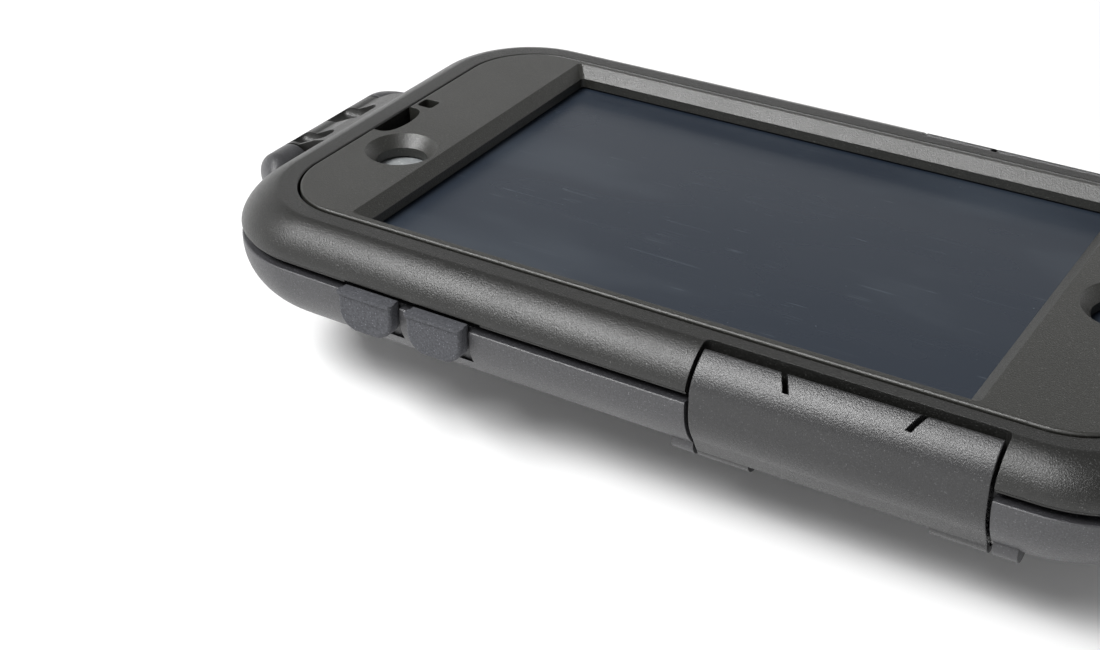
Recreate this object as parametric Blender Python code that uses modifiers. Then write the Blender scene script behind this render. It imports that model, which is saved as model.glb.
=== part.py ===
import math

import bmesh
import bpy
from mathutils import Matrix, Vector

# Hard case that holds a phone on a bicycle's handlebar.
# Lengths are in metres and +Z is up. Heights are measured down from the front plate's top face,
# which is the height of the case_datum empty; +X runs to the case's bottom end, away from the hinge.

# Phone that the case is made for, and the room left round it
PHONE_L = 0.1152
PHONE_W = 0.0586
PHONE_T = 0.0093
PHONE_SIDE_CLEAR = 0.0002
PHONE_TOP_CLEAR = 0.0005

# Gap that parts which touch keep between their faces
SEAT_GAP = 0.0003

# Step that keeps two cuts' end faces out of one plane, and how far cutters run past a surface
FACE_STEP = 0.00005
OVERCUT = 0.001
OUTSIDE = 0.004

# Front plate with the window
PLATE_OVER_SIDE = 0.0007
PLATE_OVER_END = 0.0014
PLATE_T = 0.0029
PLATE_R = 0.01045
PLATE_EDGE = 0.00035
PLATE_EDGE_STEPS = 2
GROOVE = 0.00035

# Window, from the plate's two ends and the phone's sides
WINDOW_START = 0.0149
WINDOW_END = 0.0195
WINDOW_IN = 0.0020
WINDOW_R = 0.0006
WINDOW_CHAMFER = 0.0017
WINDOW_CHAMFER_D = 0.0015

# Round openings in the plate, from its ends and the phone's near side
CAMERA_X = 0.0075
CAMERA_IN = 0.01944
CAMERA_R = 0.0036
HOME_FROM_END = 0.0097
HOME_R = 0.0046
SINK_W = 0.00156
SINK_D = 0.0016
LENS_RIM = 0.0009
LENS_T = 0.0008

# Ear slot at the plate's hinge end
EAR_SLOT_W = 0.0094
EAR_SLOT_D = 0.0042
EAR_SLOT_Y = -0.0021
EAR_SLOT_STEPS = 12
EAR_HOOK_W = 0.0026
EAR_HOOK_D = 0.0032
EAR_HOOK_START = 0.0006
EAR_HOOK_R = 0.0006
EAR_BRIDGE = 0.0010

# Film under the window and the home opening
FILM_T = 0.0004
FILM_EDGE = 0.0019
FILM_START_R = 0.0012

# Plan outline of the case
SIDE_RIM = 0.0068
END_RIM = 0.00765
CORNER_R = 0.0161
SIDE_BOW = 0.0006
SIDE_STEPS = 8
CORNER_STEPS = 10
LEAST_R = 0.002

# Section of the cover, heights below the plate's top
CREST_Z = -0.0002
CREST_EDGE = 0.00025
CROWN_W = 0.00457
CROWN_H = 0.0045
CROWN_POWER = 1.55
CROWN_SET_IN = 0.00005
CROWN_STEPS = 8
LIP_W = 0.00032
LIP_H = 0.0003
SEAM_TOP_Z = -0.0053
SEAT_LEDGE_W = 0.00105

# Section of the back shell, its back profile as insets and heights above the back face
SEAM = 0.0010
RIM_CHAMFER = 0.00025
BACK_T = 0.0029
SIDE_TURN_Z = -0.0072
SIDE_TURN_W = 0.0072
SIDE_TURN_RISE = 0.0019
SIDE_TURN_ANGLE = 65.0
SIDE_TURN_STEPS = 8
BACK_PROFILE = ((0.0065, 0.0017), (0.0095, 0.0009), (0.0135, 0.0003), (0.0184, 0.0))
CAVITY_BEVEL = 0.0008

# Case seal in its channel
SEAL_INSET = 0.0050
SEAL_W = 0.0009
SEAL_UNDER_COVER = 0.0002
CHANNEL_CLEAR = 0.0002
CHANNEL_D = 0.0008

# Liner tray round the phone
LINER_T = 0.0005
LINER_FLOOR_T = 0.0008
LINER_H = 0.0053
LINER_HOLE_CLEAR = 0.0004

# Lid hinge, placed from the case's hinge end
HINGE_OUT = 0.0024
HINGE_Y = -0.0021
HINGE_Z = -0.0060
HINGE_R = 0.0032
HINGE_GAP = 0.00035
HINGE_STEPS = 40
HINGE_PIN_R = 0.0010
PIN_IN_LUG = 0.0036
ARM_W = 0.0192
ARM_GAP = 0.0004
ARM_TOP_Z = -0.00075
ARM_TOP_IN = 0.0037
ARM_ROOT = 0.0008
ARM_SLOPE_IN = 0.0010
ARM_SLOPE_Z = -0.0015
ARM_START_ANGLE = 80.0
ARM_STEPS = 24
ARM_SEAM_STEP = 0.0001
LUG_W = 0.0076
LUG_FULL_W = 0.0034
LUG_TIP_R = 0.0009
LUG_STEPS = 5
SCOOP_Y = 0.0047
SCOOP_OUT = 0.0002
SCOOP_Z = -0.0006
SCOOP_RX = 0.0050
SCOOP_RY = 0.0030
SCOOP_RZ = 0.0032

# Side latches, their lower heights measured up from the back face
LATCH_START = 0.0686
LATCH_L = 0.0363
LATCH_T = 0.0017
LATCH_END_GAP = 0.0005
LATCH_WALL_GAP = 0.00035
LATCH_TIP_INSET = 0.00435
LATCH_TIP_GAP = 0.0005
LATCH_TIP_DROP = 0.0008
LATCH_TIP_ROUND = 0.0009
LATCH_CORNER_R = 0.0009
LATCH_CORNER_STEPS = 4
LATCH_EDGE_RISE = 0.0029
LATCH_LOW_INSET = 0.00237
LATCH_LOW_RISE = 0.0031
LATCH_LOW_T = 0.00075
LATCH_HEEL_RISE = 0.0035
LATCH_BEND_RISE = 0.0053
LATCH_STEPS = 6
LATCH_CROWN_STEPS = 6
LATCH_TURN_STEPS = 10
RECESS_R = 0.0010
KNUCKLE_L = 0.0068
KNUCKLE_R = 0.00185
PIVOT_INSET = 0.00405
PIVOT_RISE = 0.0033
PIVOT_LUG_L = 0.0030
LATCH_PIN_R = 0.00075
PIN_CLEAR = 0.0003
PIN_HOLD = 0.0021
SLIT_X = 0.0097
SLIT_W = 0.0008
SLIT_D = 0.0029
SLIT_LEAN = 0.0017
SLIT_LOW_Z = -0.0045

# Volume buttons, their tops just under the cover's edge
BUTTON_START = 0.0182
BUTTON_L = 0.0083
BUTTON_PITCH = 0.0108
BUTTON_DROP = 0.0001
BUTTON_H = 0.0055
BUTTON_PROUD = 0.0016
BUTTON_R = 0.0028
BUTTON_EDGE = 0.0005
BUTTON_EDGE_STEPS = 2
BUTTON_LIP = 0.0002
BUTTON_LIP_T = 0.0004
BUTTON_LIP_OUT = 0.0004
BUTTON_LIP_R = 0.0010
BUTTON_TRAVEL = 0.0007
BUTTON_GAP = 0.0003
BUTTON_SET_IN = 0.0003
BUTTON_NOTCH_H = 0.00035
BUTTON_NOTCH_BACK = 0.0004
BUTTON_NOTCH_PAST = 0.0018
STEM_L = 0.0050
STEM_H = 0.0020
STEM_Z = -0.0092
STEM_ROOT = 0.0005
STEM_TO_PHONE = 0.0004
BUTTON_SEAL_W = 0.0016
BUTTON_SEAL_REACH = 0.0035
BUTTON_SEAL_H = 0.0004

# Rear camera window, from the phone's far side
REAR_X = 0.0104
REAR_IN = 0.0123
REAR_R = 0.0050
REAR_PANE_RIM = 0.0012
REAR_PANE_T = 0.0007

# Mount foot under the case
FOOT_PLATE_L = 0.046
FOOT_PLATE_W = 0.036
FOOT_PLATE_T = 0.0023
FOOT_PLATE_R = 0.006
FOOT_PLATE_EDGE = 0.0006
NECK_R = 0.0110
NECK_H = 0.0030
FLANGE_R = 0.0160
FLANGE_T = 0.0032
FLANGE_EDGE = 0.0006
FLANGE_FLAT = 0.0125
FLAT_ABOVE = 0.0015
SCREW_FROM_END = 0.005
SCREW_FROM_SIDE = 0.005
SCREW_HEAD_R = 0.0021
SCREW_R = 0.0011
SCREW_HEAD_H = 0.0011
SCREW_UNDER_FLOOR = 0.0015
SCREW_SOCKET_R = 0.0010
SCREW_SOCKET_D = 0.0007

# Facets round turned pieces
ROUND = 32
PIN_ROUND = 20
SCREW_ROUND = 16
HOLE_ROUND = 36
FLANGE_ROUND = 40

# Sizes that follow from those above
PLATE_L = PHONE_L + 2 * PLATE_OVER_END
PLATE_W = PHONE_W + 2 * PLATE_OVER_SIDE
HALF_W = PLATE_W / 2 + GROOVE + SIDE_RIM
HALF_L = PLATE_L / 2 + GROOVE + END_RIM
CORNER_RATIO = (CORNER_R - PLATE_R - GROOVE) / SIDE_RIM
END_RATIO = END_RIM / SIDE_RIM
TOP_END = -PLATE_L / 2
CASE_END = -HALF_L
WINDOW_L = PLATE_L - WINDOW_START - WINDOW_END
WINDOW_W = PHONE_W - 2 * WINDOW_IN
CAMERA_Y = CAMERA_IN - PHONE_W / 2
HOME_X = PLATE_L - HOME_FROM_END
REAR_Y = PHONE_W / 2 - REAR_IN
RIM_Z = SEAM_TOP_Z - SEAM
UNDER_PLATE_Z = -PLATE_T - SEAT_GAP
LEDGE_INSET = SIDE_RIM + SEAT_LEDGE_W
CAVITY_INSET = HALF_W - (PHONE_W / 2 + PHONE_SIDE_CLEAR + LINER_T + SEAT_GAP)
PHONE_BACK_Z = UNDER_PLATE_Z - FILM_T - PHONE_TOP_CLEAR - PHONE_T
FLOOR_Z = PHONE_BACK_Z - LINER_FLOOR_T - SEAT_GAP
BACK_Z = FLOOR_Z - BACK_T
SIDE_TURN_H = SIDE_TURN_Z - BACK_Z - SIDE_TURN_RISE
FOOT_TOP_Z = BACK_Z - SEAT_GAP
FOOT_PLATE_Z = FOOT_TOP_Z - FOOT_PLATE_T
TOP_Z = NECK_H + FLANGE_T - FOOT_PLATE_Z
HINGE_CX = CASE_END - HINGE_OUT
HINGE_PIN_HALF = ARM_W / 2 + ARM_GAP + PIN_IN_LUG
LATCH_X0 = TOP_END + LATCH_START
LATCH_X1 = LATCH_X0 + LATCH_L
LATCH_WALL_Y = HALF_W - LATCH_TIP_INSET - LATCH_TIP_GAP
PIVOT_Y = HALF_W - PIVOT_INSET
PIVOT_Z = BACK_Z + PIVOT_RISE
BUTTON_TOP_Z = SEAM_TOP_Z - BUTTON_DROP
BUTTON_DEEP = BUTTON_SET_IN + BUTTON_TRAVEL + BUTTON_GAP
REAR_PANE_R = REAR_R + REAR_PANE_RIM
SCREW_TOP_Z = FLOOR_Z - SCREW_UNDER_FLOOR


def clear_scene():
    for obj in list(bpy.data.objects):
        bpy.data.objects.remove(obj, do_unlink=True)


def new_collection(name):
    coll = bpy.data.collections.new(name)
    bpy.context.scene.collection.children.link(coll)
    return coll


clear_scene()
PARTS = new_collection("bicycle_phone_case")
CUTTERS = new_collection("cutters")


# Materials

def material(name, colour, roughness, metallic=0.0, alpha=1.0):
    mat = bpy.data.materials.new(name)
    mat.use_nodes = True
    shader = mat.node_tree.nodes["Principled BSDF"]
    shader.inputs["Base Color"].default_value = (*colour, 1.0)
    shader.inputs["Roughness"].default_value = roughness
    shader.inputs["Metallic"].default_value = metallic
    shader.inputs["Alpha"].default_value = alpha
    return mat


# Plan outline and the bodies swept round it

def side_y(x, inset):
    """Half width of the case at x, taken in by inset, with the slight bow of its long sides."""
    reach = HALF_L - CORNER_R
    bow = SIDE_BOW * max(0.0, 1 - (x / reach) ** 2)
    fade = min(1.0, max(0.0, 1 - inset / SIDE_RIM))
    return HALF_W - inset + bow * fade


def corner_radius(inset):
    """Plan radius of the case's corners, taken in by inset."""
    return max(CORNER_R - inset * CORNER_RATIO, LEAST_R)


def outline(inset, z):
    """Closed loop of the plan outline at height z, counter-clockwise seen from above."""
    half_l = HALF_L - inset * END_RATIO
    radius = corner_radius(inset)
    centre_x = half_l - radius
    centre_y = HALF_W - inset - radius
    points = []
    for sign_x, sign_y, start in ((1, 1, 0), (-1, 1, 90), (-1, -1, 180), (1, -1, 270)):
        for i in range(CORNER_STEPS + 1):
            angle = math.radians(start + 90 * i / CORNER_STEPS)
            x = sign_x * centre_x + radius * math.cos(angle)
            y = sign_y * centre_y + radius * math.sin(angle)
            points.append(Vector((x, y, z)))
        if sign_x * sign_y > 0:
            for i in range(1, SIDE_STEPS):
                x = sign_x * centre_x * (1 - 2 * i / SIDE_STEPS)
                points.append(Vector((x, sign_y * side_y(x, inset), z)))
    return points


def loft(name, loops, closed=False):
    """Body through loops of equal count, either closed on itself or capped at both ends."""
    bm = bmesh.new()
    rings = [[bm.verts.new(p) for p in loop] for loop in loops]
    pairs = list(zip(rings, rings[1:]))
    if closed:
        pairs.append((rings[-1], rings[0]))
    count = len(rings[0])
    for low, high in pairs:
        for i in range(count):
            j = (i + 1) % count
            bm.faces.new((low[i], low[j], high[j], high[i]))
    if not closed:
        bm.faces.new(rings[0])
        bm.faces.new(rings[-1])
    bmesh.ops.recalc_face_normals(bm, faces=bm.faces)
    return to_object(name, bm)


def to_object(name, bm):
    mesh = bpy.data.meshes.new(name)
    bm.to_mesh(mesh)
    bm.free()
    obj = bpy.data.objects.new(name, mesh)
    mesh.shade_smooth()
    mesh.set_sharp_from_angle(angle=math.radians(35))
    return obj


def swept(name, profile, closed=False):
    """Body whose (inset, height) profile is carried round the plan outline."""
    return loft(name, [outline(inset, z) for inset, z in profile], closed)


def side_body(name, profile, x0, x1, side):
    """Body whose (inset, height) section is carried along one long side from x0 to x1."""
    loops = []
    for i in range(LATCH_STEPS + 1):
        x = x0 + (x1 - x0) * i / LATCH_STEPS
        loops.append([Vector((x, side * side_y(x, inset), z)) for inset, z in profile])
    return loft(name, loops)


def prism(name, points, y0, y1):
    """Outline in X and Z pushed along Y."""
    loops = [[Vector((x, y, z)) for x, z in points] for y in (y0, y1)]
    return loft(name, loops)


def round_rect(length, width, radius, z, steps=8, centre=0.0, start_radius=None):
    """Loop of a rectangle with round corners at height z, its -X corners of start_radius if given."""
    points = []
    for sign_x, sign_y, start in ((1, 1, 0), (-1, 1, 90), (-1, -1, 180), (1, -1, 270)):
        r = radius if sign_x > 0 or start_radius is None else start_radius
        for i in range(steps + 1):
            angle = math.radians(start + 90 * i / steps)
            x = centre + sign_x * (length / 2 - r) + r * math.cos(angle)
            y = sign_y * (width / 2 - r) + r * math.sin(angle)
            points.append(Vector((x, y, z)))
    return points


def edge_round(size, steps):
    """Insets and drops of a rounded edge, from the side face up to the top face."""
    angles = [math.radians(90 * i / steps) for i in range(steps + 1)]
    return [(size * (1 - math.cos(a)), size * (1 - math.sin(a))) for a in angles]


def box(name, low, high, bevel=0.0):
    """Block between two corners, with its upright edges rounded by bevel."""
    bm = bmesh.new()
    bmesh.ops.create_cube(bm, size=1.0)
    size = [b - a for a, b in zip(low, high)]
    middle = [(a + b) / 2 for a, b in zip(low, high)]
    bmesh.ops.scale(bm, vec=size, verts=bm.verts)
    bmesh.ops.translate(bm, vec=middle, verts=bm.verts)
    if bevel:
        edges = [e for e in bm.edges if abs(e.verts[0].co.z - e.verts[1].co.z) > size[2] / 2]
        bmesh.ops.bevel(bm, geom=edges, offset=bevel, segments=4, profile=0.5, affect="EDGES")
    return to_object(name, bm)


def rod(name, radius, start, end, segments=ROUND):
    """Cylinder between two points."""
    start = Vector(start)
    end = Vector(end)
    bm = bmesh.new()
    bmesh.ops.create_cone(bm, cap_ends=True, segments=segments, radius1=radius, radius2=radius,
                          depth=(end - start).length)
    turn = (end - start).to_track_quat("Z", "Y").to_matrix().to_4x4()
    bmesh.ops.transform(bm, matrix=Matrix.Translation((start + end) / 2) @ turn, verts=bm.verts)
    return to_object(name, bm)


def turned(name, profile, x=0.0, y=0.0, steps=FLANGE_ROUND):
    """Body of revolution from a (radius, height) profile that runs down its outer side."""
    mesh = bpy.data.meshes.new(name)
    points = [(r, 0.0, z) for r, z in profile]
    mesh.from_pydata(points, [(i, i + 1) for i in range(len(points) - 1)], [])
    obj = bpy.data.objects.new(name, mesh)
    obj.location = (x, y, 0.0)
    screw = obj.modifiers.new("Turn", "SCREW")
    screw.steps = steps
    screw.render_steps = steps
    screw.use_merge_vertices = True
    screw.merge_threshold = 0.00001
    screw.use_smooth_shade = True
    return obj


def disc(name, radius, top, thickness, x, y):
    """Flat round pane."""
    low = top - thickness
    return turned(name, [(0.0, top), (radius, top), (radius, low), (0.0, low)], x, y, HOLE_ROUND)


# Placing and cutting

def datum(name, x, y, z, parent=None):
    empty = bpy.data.objects.new(name, None)
    empty.location = (x, y, z)
    empty.empty_display_size = 0.005
    empty.parent = parent
    PARTS.objects.link(empty)
    return empty


CASE_DATUM = datum("case_datum", 0.0, 0.0, TOP_Z)


def part(obj, mat, axis=None):
    """Link a piece, give it its material and hang it from the case or from its joint's axis."""
    PARTS.objects.link(obj)
    obj.data.materials.append(mat)
    obj.parent = axis or CASE_DATUM
    if axis:
        obj.location = obj.location - axis.location
    return obj


def tool(obj):
    """Link a cutter, in the case's own coordinates."""
    CUTTERS.objects.link(obj)
    obj.hide_render = True
    obj.display_type = "WIRE"
    obj.parent = CASE_DATUM
    return obj


def boolean(obj, other, operation):
    mod = obj.modifiers.new(other.name, "BOOLEAN")
    mod.operation = operation
    mod.solver = "EXACT"
    mod.object = tool(other)


def cut(obj, *cutters):
    for cutter in cutters:
        boolean(obj, cutter, "DIFFERENCE")


def join(obj, *bodies):
    for body in bodies:
        boolean(obj, body, "UNION")


def hinge_rod(name, radius, half_length):
    """Cylinder round the lid hinge's axis."""
    return rod(name, radius, (HINGE_CX, HINGE_Y - half_length, HINGE_Z),
               (HINGE_CX, HINGE_Y + half_length, HINGE_Z), HINGE_STEPS)


def pivot_rod(name, radius, x0, x1, side, segments=ROUND):
    """Cylinder round a latch's axis."""
    y = side * PIVOT_Y
    return rod(name, radius, (x0, y, PIVOT_Z), (x1, y, PIVOT_Z), segments)


# Profiles

def crown(shrink, steps, end_inset):
    """Quarter of the rounded rim, an ellipse with flattened shoulders, from the side up to the crest."""
    centre_inset = CROWN_W + CROWN_SET_IN
    centre_z = CREST_Z - CROWN_H
    width = CROWN_W - shrink
    height = CROWN_H - shrink
    share = min(1.0, max(0.0, (centre_inset - end_inset) / width))
    end = math.acos(share ** (CROWN_POWER / 2))
    points = []
    for i in range(steps + 1):
        angle = end * i / steps
        across = max(0.0, math.cos(angle)) ** (2 / CROWN_POWER)
        rise = math.sin(angle) ** (2 / CROWN_POWER)
        points.append((centre_inset - width * across, centre_z + height * rise))
    return points


def side_turn(shrink, steps, end_angle=SIDE_TURN_ANGLE):
    """Ellipse that turns the side under to the back, from the side down."""
    width = SIDE_TURN_W - shrink
    height = SIDE_TURN_H - shrink
    points = []
    for i in range(steps + 1):
        angle = math.radians(end_angle) * i / steps
        points.append((SIDE_TURN_W - width * math.cos(angle), SIDE_TURN_Z - height * math.sin(angle)))
    return points


def cover_profile():
    lip = [(LIP_W, SEAM_TOP_Z), (LIP_W, SEAM_TOP_Z + LIP_H)]
    top = [(SIDE_RIM - CREST_EDGE, CREST_Z), (SIDE_RIM, CREST_Z - CREST_EDGE)]
    ledge = [(SIDE_RIM, UNDER_PLATE_Z), (LEDGE_INSET, UNDER_PLATE_Z), (LEDGE_INSET, SEAM_TOP_Z)]
    return lip + crown(0.0, CROWN_STEPS, CROWN_W + CROWN_SET_IN) + top + ledge


def shell_profile():
    floor = [(CAVITY_INSET + CAVITY_BEVEL, FLOOR_Z), (CAVITY_INSET, FLOOR_Z + CAVITY_BEVEL)]
    channel_in = SEAL_INSET + SEAL_W + CHANNEL_CLEAR
    channel_out = SEAL_INSET - CHANNEL_CLEAR
    channel_z = RIM_Z - CHANNEL_D
    rim = [(CAVITY_INSET, RIM_Z), (channel_in, RIM_Z), (channel_in, channel_z),
           (channel_out, channel_z), (channel_out, RIM_Z), (RIM_CHAMFER, RIM_Z),
           (0.0, RIM_Z - RIM_CHAMFER)]
    back = [(inset, BACK_Z + rise) for inset, rise in BACK_PROFILE]
    return floor + rim + side_turn(0.0, SIDE_TURN_STEPS) + back


def above_bend(points):
    return [p for p in points if p[1] > BACK_Z + LATCH_BEND_RISE]


def latch_outer():
    """Outside of a latch from its tip down to its lower edge."""
    upper = list(reversed(crown(0.0, LATCH_CROWN_STEPS, LATCH_TIP_INSET - LATCH_TIP_ROUND)))
    lower = above_bend(side_turn(0.0, LATCH_TURN_STEPS))
    tip = [(LATCH_TIP_INSET, upper[0][1] - LATCH_TIP_DROP)]
    return tip + upper + lower + [(LATCH_LOW_INSET, BACK_Z + LATCH_LOW_RISE)]


def latch_inner(extra):
    """Inside of a latch from its lower edge up to its tip, moved in by extra."""
    shrink = LATCH_T + extra
    upper = crown(shrink, LATCH_CROWN_STEPS, LATCH_TIP_INSET)
    lower = list(reversed(above_bend(side_turn(shrink, LATCH_TURN_STEPS))))
    return [(LATCH_LOW_INSET + LATCH_LOW_T + extra, BACK_Z + LATCH_HEEL_RISE)] + lower + upper


# Pieces of the lid

def make_cover(mat, axis):
    cover = part(swept("front_cover", cover_profile(), closed=True), mat, axis)
    join(cover, hinge_arm())
    for side in (1, -1):
        cut(cover, lug_body(f"lug_space_{side}", side, HINGE_GAP), scoop(side), cover_latch_space(side))
    cut(cover, cover_button_space(), hinge_rod("arm_bore", HINGE_PIN_R + PIN_CLEAR, ARM_W))
    return cover


def hinge_arm():
    """Arm of the lid that runs out to the hinge's barrel."""
    points = []
    seam_z = SEAM_TOP_Z + ARM_SEAM_STEP
    end = 360.0 + math.degrees(math.asin((seam_z - HINGE_Z) / HINGE_R))
    for i in range(ARM_STEPS + 1):
        angle = math.radians(ARM_START_ANGLE + (end - ARM_START_ANGLE) * i / ARM_STEPS)
        points.append((HINGE_CX + HINGE_R * math.cos(angle), HINGE_Z + HINGE_R * math.sin(angle)))
    top_x = CASE_END + ARM_TOP_IN
    points += [(top_x + ARM_ROOT, seam_z), (top_x + ARM_ROOT, ARM_TOP_Z), (top_x, ARM_TOP_Z),
               (CASE_END + ARM_SLOPE_IN, ARM_SLOPE_Z)]
    return prism("hinge_arm", points, HINGE_Y - ARM_W / 2, HINGE_Y + ARM_W / 2)


def scoop(side):
    """Hollow beside the arm's middle rib."""
    bm = bmesh.new()
    bmesh.ops.create_uvsphere(bm, u_segments=24, v_segments=16, radius=1.0)
    bmesh.ops.scale(bm, vec=(SCOOP_RX, SCOOP_RY, SCOOP_RZ), verts=bm.verts)
    y = HINGE_Y + side * SCOOP_Y
    bmesh.ops.translate(bm, vec=(CASE_END - SCOOP_OUT, y, SCOOP_Z), verts=bm.verts)
    return to_object(f"scoop_{side}", bm)


def cover_latch_space(side):
    y = sorted((side * LATCH_WALL_Y, side * (HALF_W + OUTSIDE)))
    return box(f"cover_latch_space_{side}", (LATCH_X0 - LATCH_END_GAP, y[0], BACK_Z),
               (LATCH_X1 + LATCH_END_GAP, y[1], OUTSIDE), RECESS_R)


def cover_button_space():
    """Shallow notch in the cover's lower edge above both buttons, running past the second."""
    x0 = button_x(0) - BUTTON_GAP
    x1 = button_x(1) + BUTTON_L + BUTTON_NOTCH_PAST
    inner = side_y(x0, BUTTON_DEEP + BUTTON_NOTCH_BACK)
    return box("cover_button_space", (x0, -HALF_W - OUTSIDE, SEAM_TOP_Z - OVERCUT),
               (x1, -inner, SEAM_TOP_Z + BUTTON_NOTCH_H))


def make_plate(mat, axis):
    """Textured plate with a rounded top edge, the window and the smaller openings."""
    loops = [round_rect(PLATE_L, PLATE_W, PLATE_R, -PLATE_T)]
    for inset, drop in edge_round(PLATE_EDGE, PLATE_EDGE_STEPS):
        loops.append(round_rect(PLATE_L - 2 * inset, PLATE_W - 2 * inset, PLATE_R - inset, -drop))
    plate = part(loft("front_plate", loops), mat, axis)
    camera = countersink("camera_space", TOP_END + CAMERA_X, CAMERA_Y, CAMERA_R)
    home = countersink("home_space", TOP_END + HOME_X, 0.0, HOME_R)
    cut(plate, window_space(), camera, home, ear_slot(), ear_hook())
    return plate


def window_space():
    """Window opening with its sloped edge."""
    middle = TOP_END + WINDOW_START + WINDOW_L / 2
    wide = WINDOW_CHAMFER * (1 + OVERCUT / WINDOW_CHAMFER_D)
    loops = [round_rect(WINDOW_L, WINDOW_W, WINDOW_R, -PLATE_T - OVERCUT, 3, middle),
             round_rect(WINDOW_L, WINDOW_W, WINDOW_R, -WINDOW_CHAMFER_D, 3, middle),
             round_rect(WINDOW_L + 2 * wide, WINDOW_W + 2 * wide, WINDOW_R, OVERCUT, 3, middle)]
    return loft("window_space", loops)


def countersink(name, x, y, radius):
    """Round hole with a cone at its top."""
    wide = radius + SINK_W * (1 + OVERCUT / SINK_D)
    low = -PLATE_T - OVERCUT
    profile = [(0.0, OVERCUT), (wide, OVERCUT), (radius, -SINK_D), (radius, low), (0.0, low)]
    return turned(name, profile, x, y, HOLE_ROUND)


def ear_slot():
    """Notch in the plate's end edge with a curved inner side."""
    half = EAR_SLOT_W / 2
    loops = []
    for z in (-PLATE_T - OVERCUT, OVERCUT):
        loop = [Vector((TOP_END - OVERCUT, EAR_SLOT_Y - half, z))]
        for i in range(EAR_SLOT_STEPS + 1):
            angle = math.pi * i / EAR_SLOT_STEPS
            depth = EAR_SLOT_D * math.sqrt(max(0.0, math.sin(angle)))
            loop.append(Vector((TOP_END + depth, EAR_SLOT_Y - half * math.cos(angle), z)))
        loop.append(Vector((TOP_END - OVERCUT, EAR_SLOT_Y + half, z)))
        loops.append(loop)
    return loft("ear_space", loops)


def ear_hook():
    """Small notch beside the ear slot, past a thin bridge."""
    y0 = EAR_SLOT_Y + EAR_SLOT_W / 2 + EAR_BRIDGE
    low = (TOP_END + EAR_HOOK_START, y0, -PLATE_T - OVERCUT)
    high = (TOP_END + EAR_HOOK_D, y0 + EAR_HOOK_W, OVERCUT)
    return box("ear_hook_space", low, high, EAR_HOOK_R)


def make_film(mat, axis):
    """Touch film inside the cover's ledge, under the window and the home opening."""
    start = TOP_END + WINDOW_START - FILM_EDGE
    end = HALF_L - LEDGE_INSET * END_RATIO - SEAT_GAP
    width = 2 * (HALF_W - LEDGE_INSET - SEAT_GAP)
    end_r = corner_radius(LEDGE_INSET)
    loops = [round_rect(end - start, width, end_r, z, 6, (start + end) / 2, FILM_START_R)
             for z in (UNDER_PLATE_Z - FILM_T, UNDER_PLATE_Z)]
    return part(loft("window_film", loops), mat, axis)


def make_lens(mat, axis):
    lens = disc("camera_lens", CAMERA_R + LENS_RIM, UNDER_PLATE_Z, LENS_T, TOP_END + CAMERA_X, CAMERA_Y)
    return part(lens, mat, axis)


# Pieces of the back

def lug_body(name, side, grow=0.0):
    """Hinge lug of the back: a barrel that tapers into the end wall."""
    near = ARM_W / 2 + ARM_GAP
    stations = [(near - grow, HINGE_R), (near + LUG_FULL_W, HINGE_R)]
    taper = LUG_W - LUG_FULL_W
    for i in range(1, LUG_STEPS + 1):
        share = i / LUG_STEPS
        radius = LUG_TIP_R + (HINGE_R - LUG_TIP_R) * math.cos(share * math.pi / 2)
        stations.append((near + LUG_FULL_W + taper * share, radius))
    if grow:
        stations.append((near + LUG_W + grow, LUG_TIP_R))
    loops = []
    for y, radius in stations:
        centre_x = HINGE_CX + HINGE_R - radius
        loop = []
        for i in range(ROUND):
            angle = 2 * math.pi * i / ROUND
            x = centre_x + (radius + grow) * math.cos(angle)
            z = HINGE_Z + (radius + grow) * math.sin(angle)
            loop.append(Vector((x, HINGE_Y + side * y, z)))
        loops.append(loop)
    return loft(name, loops)


def make_shell(mat):
    shell = part(swept("back_shell", shell_profile()), mat)
    cut(shell, hinge_rod("arm_space", HINGE_R + HINGE_GAP, ARM_W / 2 + ARM_GAP))
    for side in (1, -1):
        join(shell, lug_body(f"lug_{side}", side))
        add_latch_seat(shell, side)
    cut(shell, hinge_rod("lug_bore", HINGE_PIN_R + PIN_CLEAR, HINGE_PIN_HALF + SEAT_GAP))
    for i in range(2):
        cut(shell, button_pocket(i), stem_space(f"stem_space_{i}", i, 0.0))
    cut_rear_window(shell)
    for i, (x, y) in enumerate(screw_places()):
        cut(shell, rod(f"screw_hole_{i}", SCREW_R + PIN_CLEAR, (x, y, BACK_Z - OVERCUT),
                       (x, y, SCREW_TOP_Z + SEAT_GAP), PIN_ROUND))
    return shell


def add_latch_seat(shell, side):
    """Recess for a closed latch, with a pierced pivot lug at each of its ends."""
    x0 = LATCH_X0 - LATCH_END_GAP
    x1 = LATCH_X1 + LATCH_END_GAP
    cut(shell, base_latch_recess(side),
        pivot_rod(f"knuckle_space_{side}", KNUCKLE_R + LATCH_WALL_GAP, x0 + FACE_STEP, x1 - FACE_STEP, side))
    join(shell, pivot_rod(f"pivot_lug_a_{side}", KNUCKLE_R, x0 - PIVOT_LUG_L, x0 - FACE_STEP, side),
         pivot_rod(f"pivot_lug_b_{side}", KNUCKLE_R, x1 + FACE_STEP, x1 + PIVOT_LUG_L, side))
    cut(shell, pivot_rod(f"latch_pin_bore_{side}", LATCH_PIN_R + PIN_CLEAR, x0 - PIN_HOLD, x1 + PIN_HOLD,
                         side, PIN_ROUND))


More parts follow.
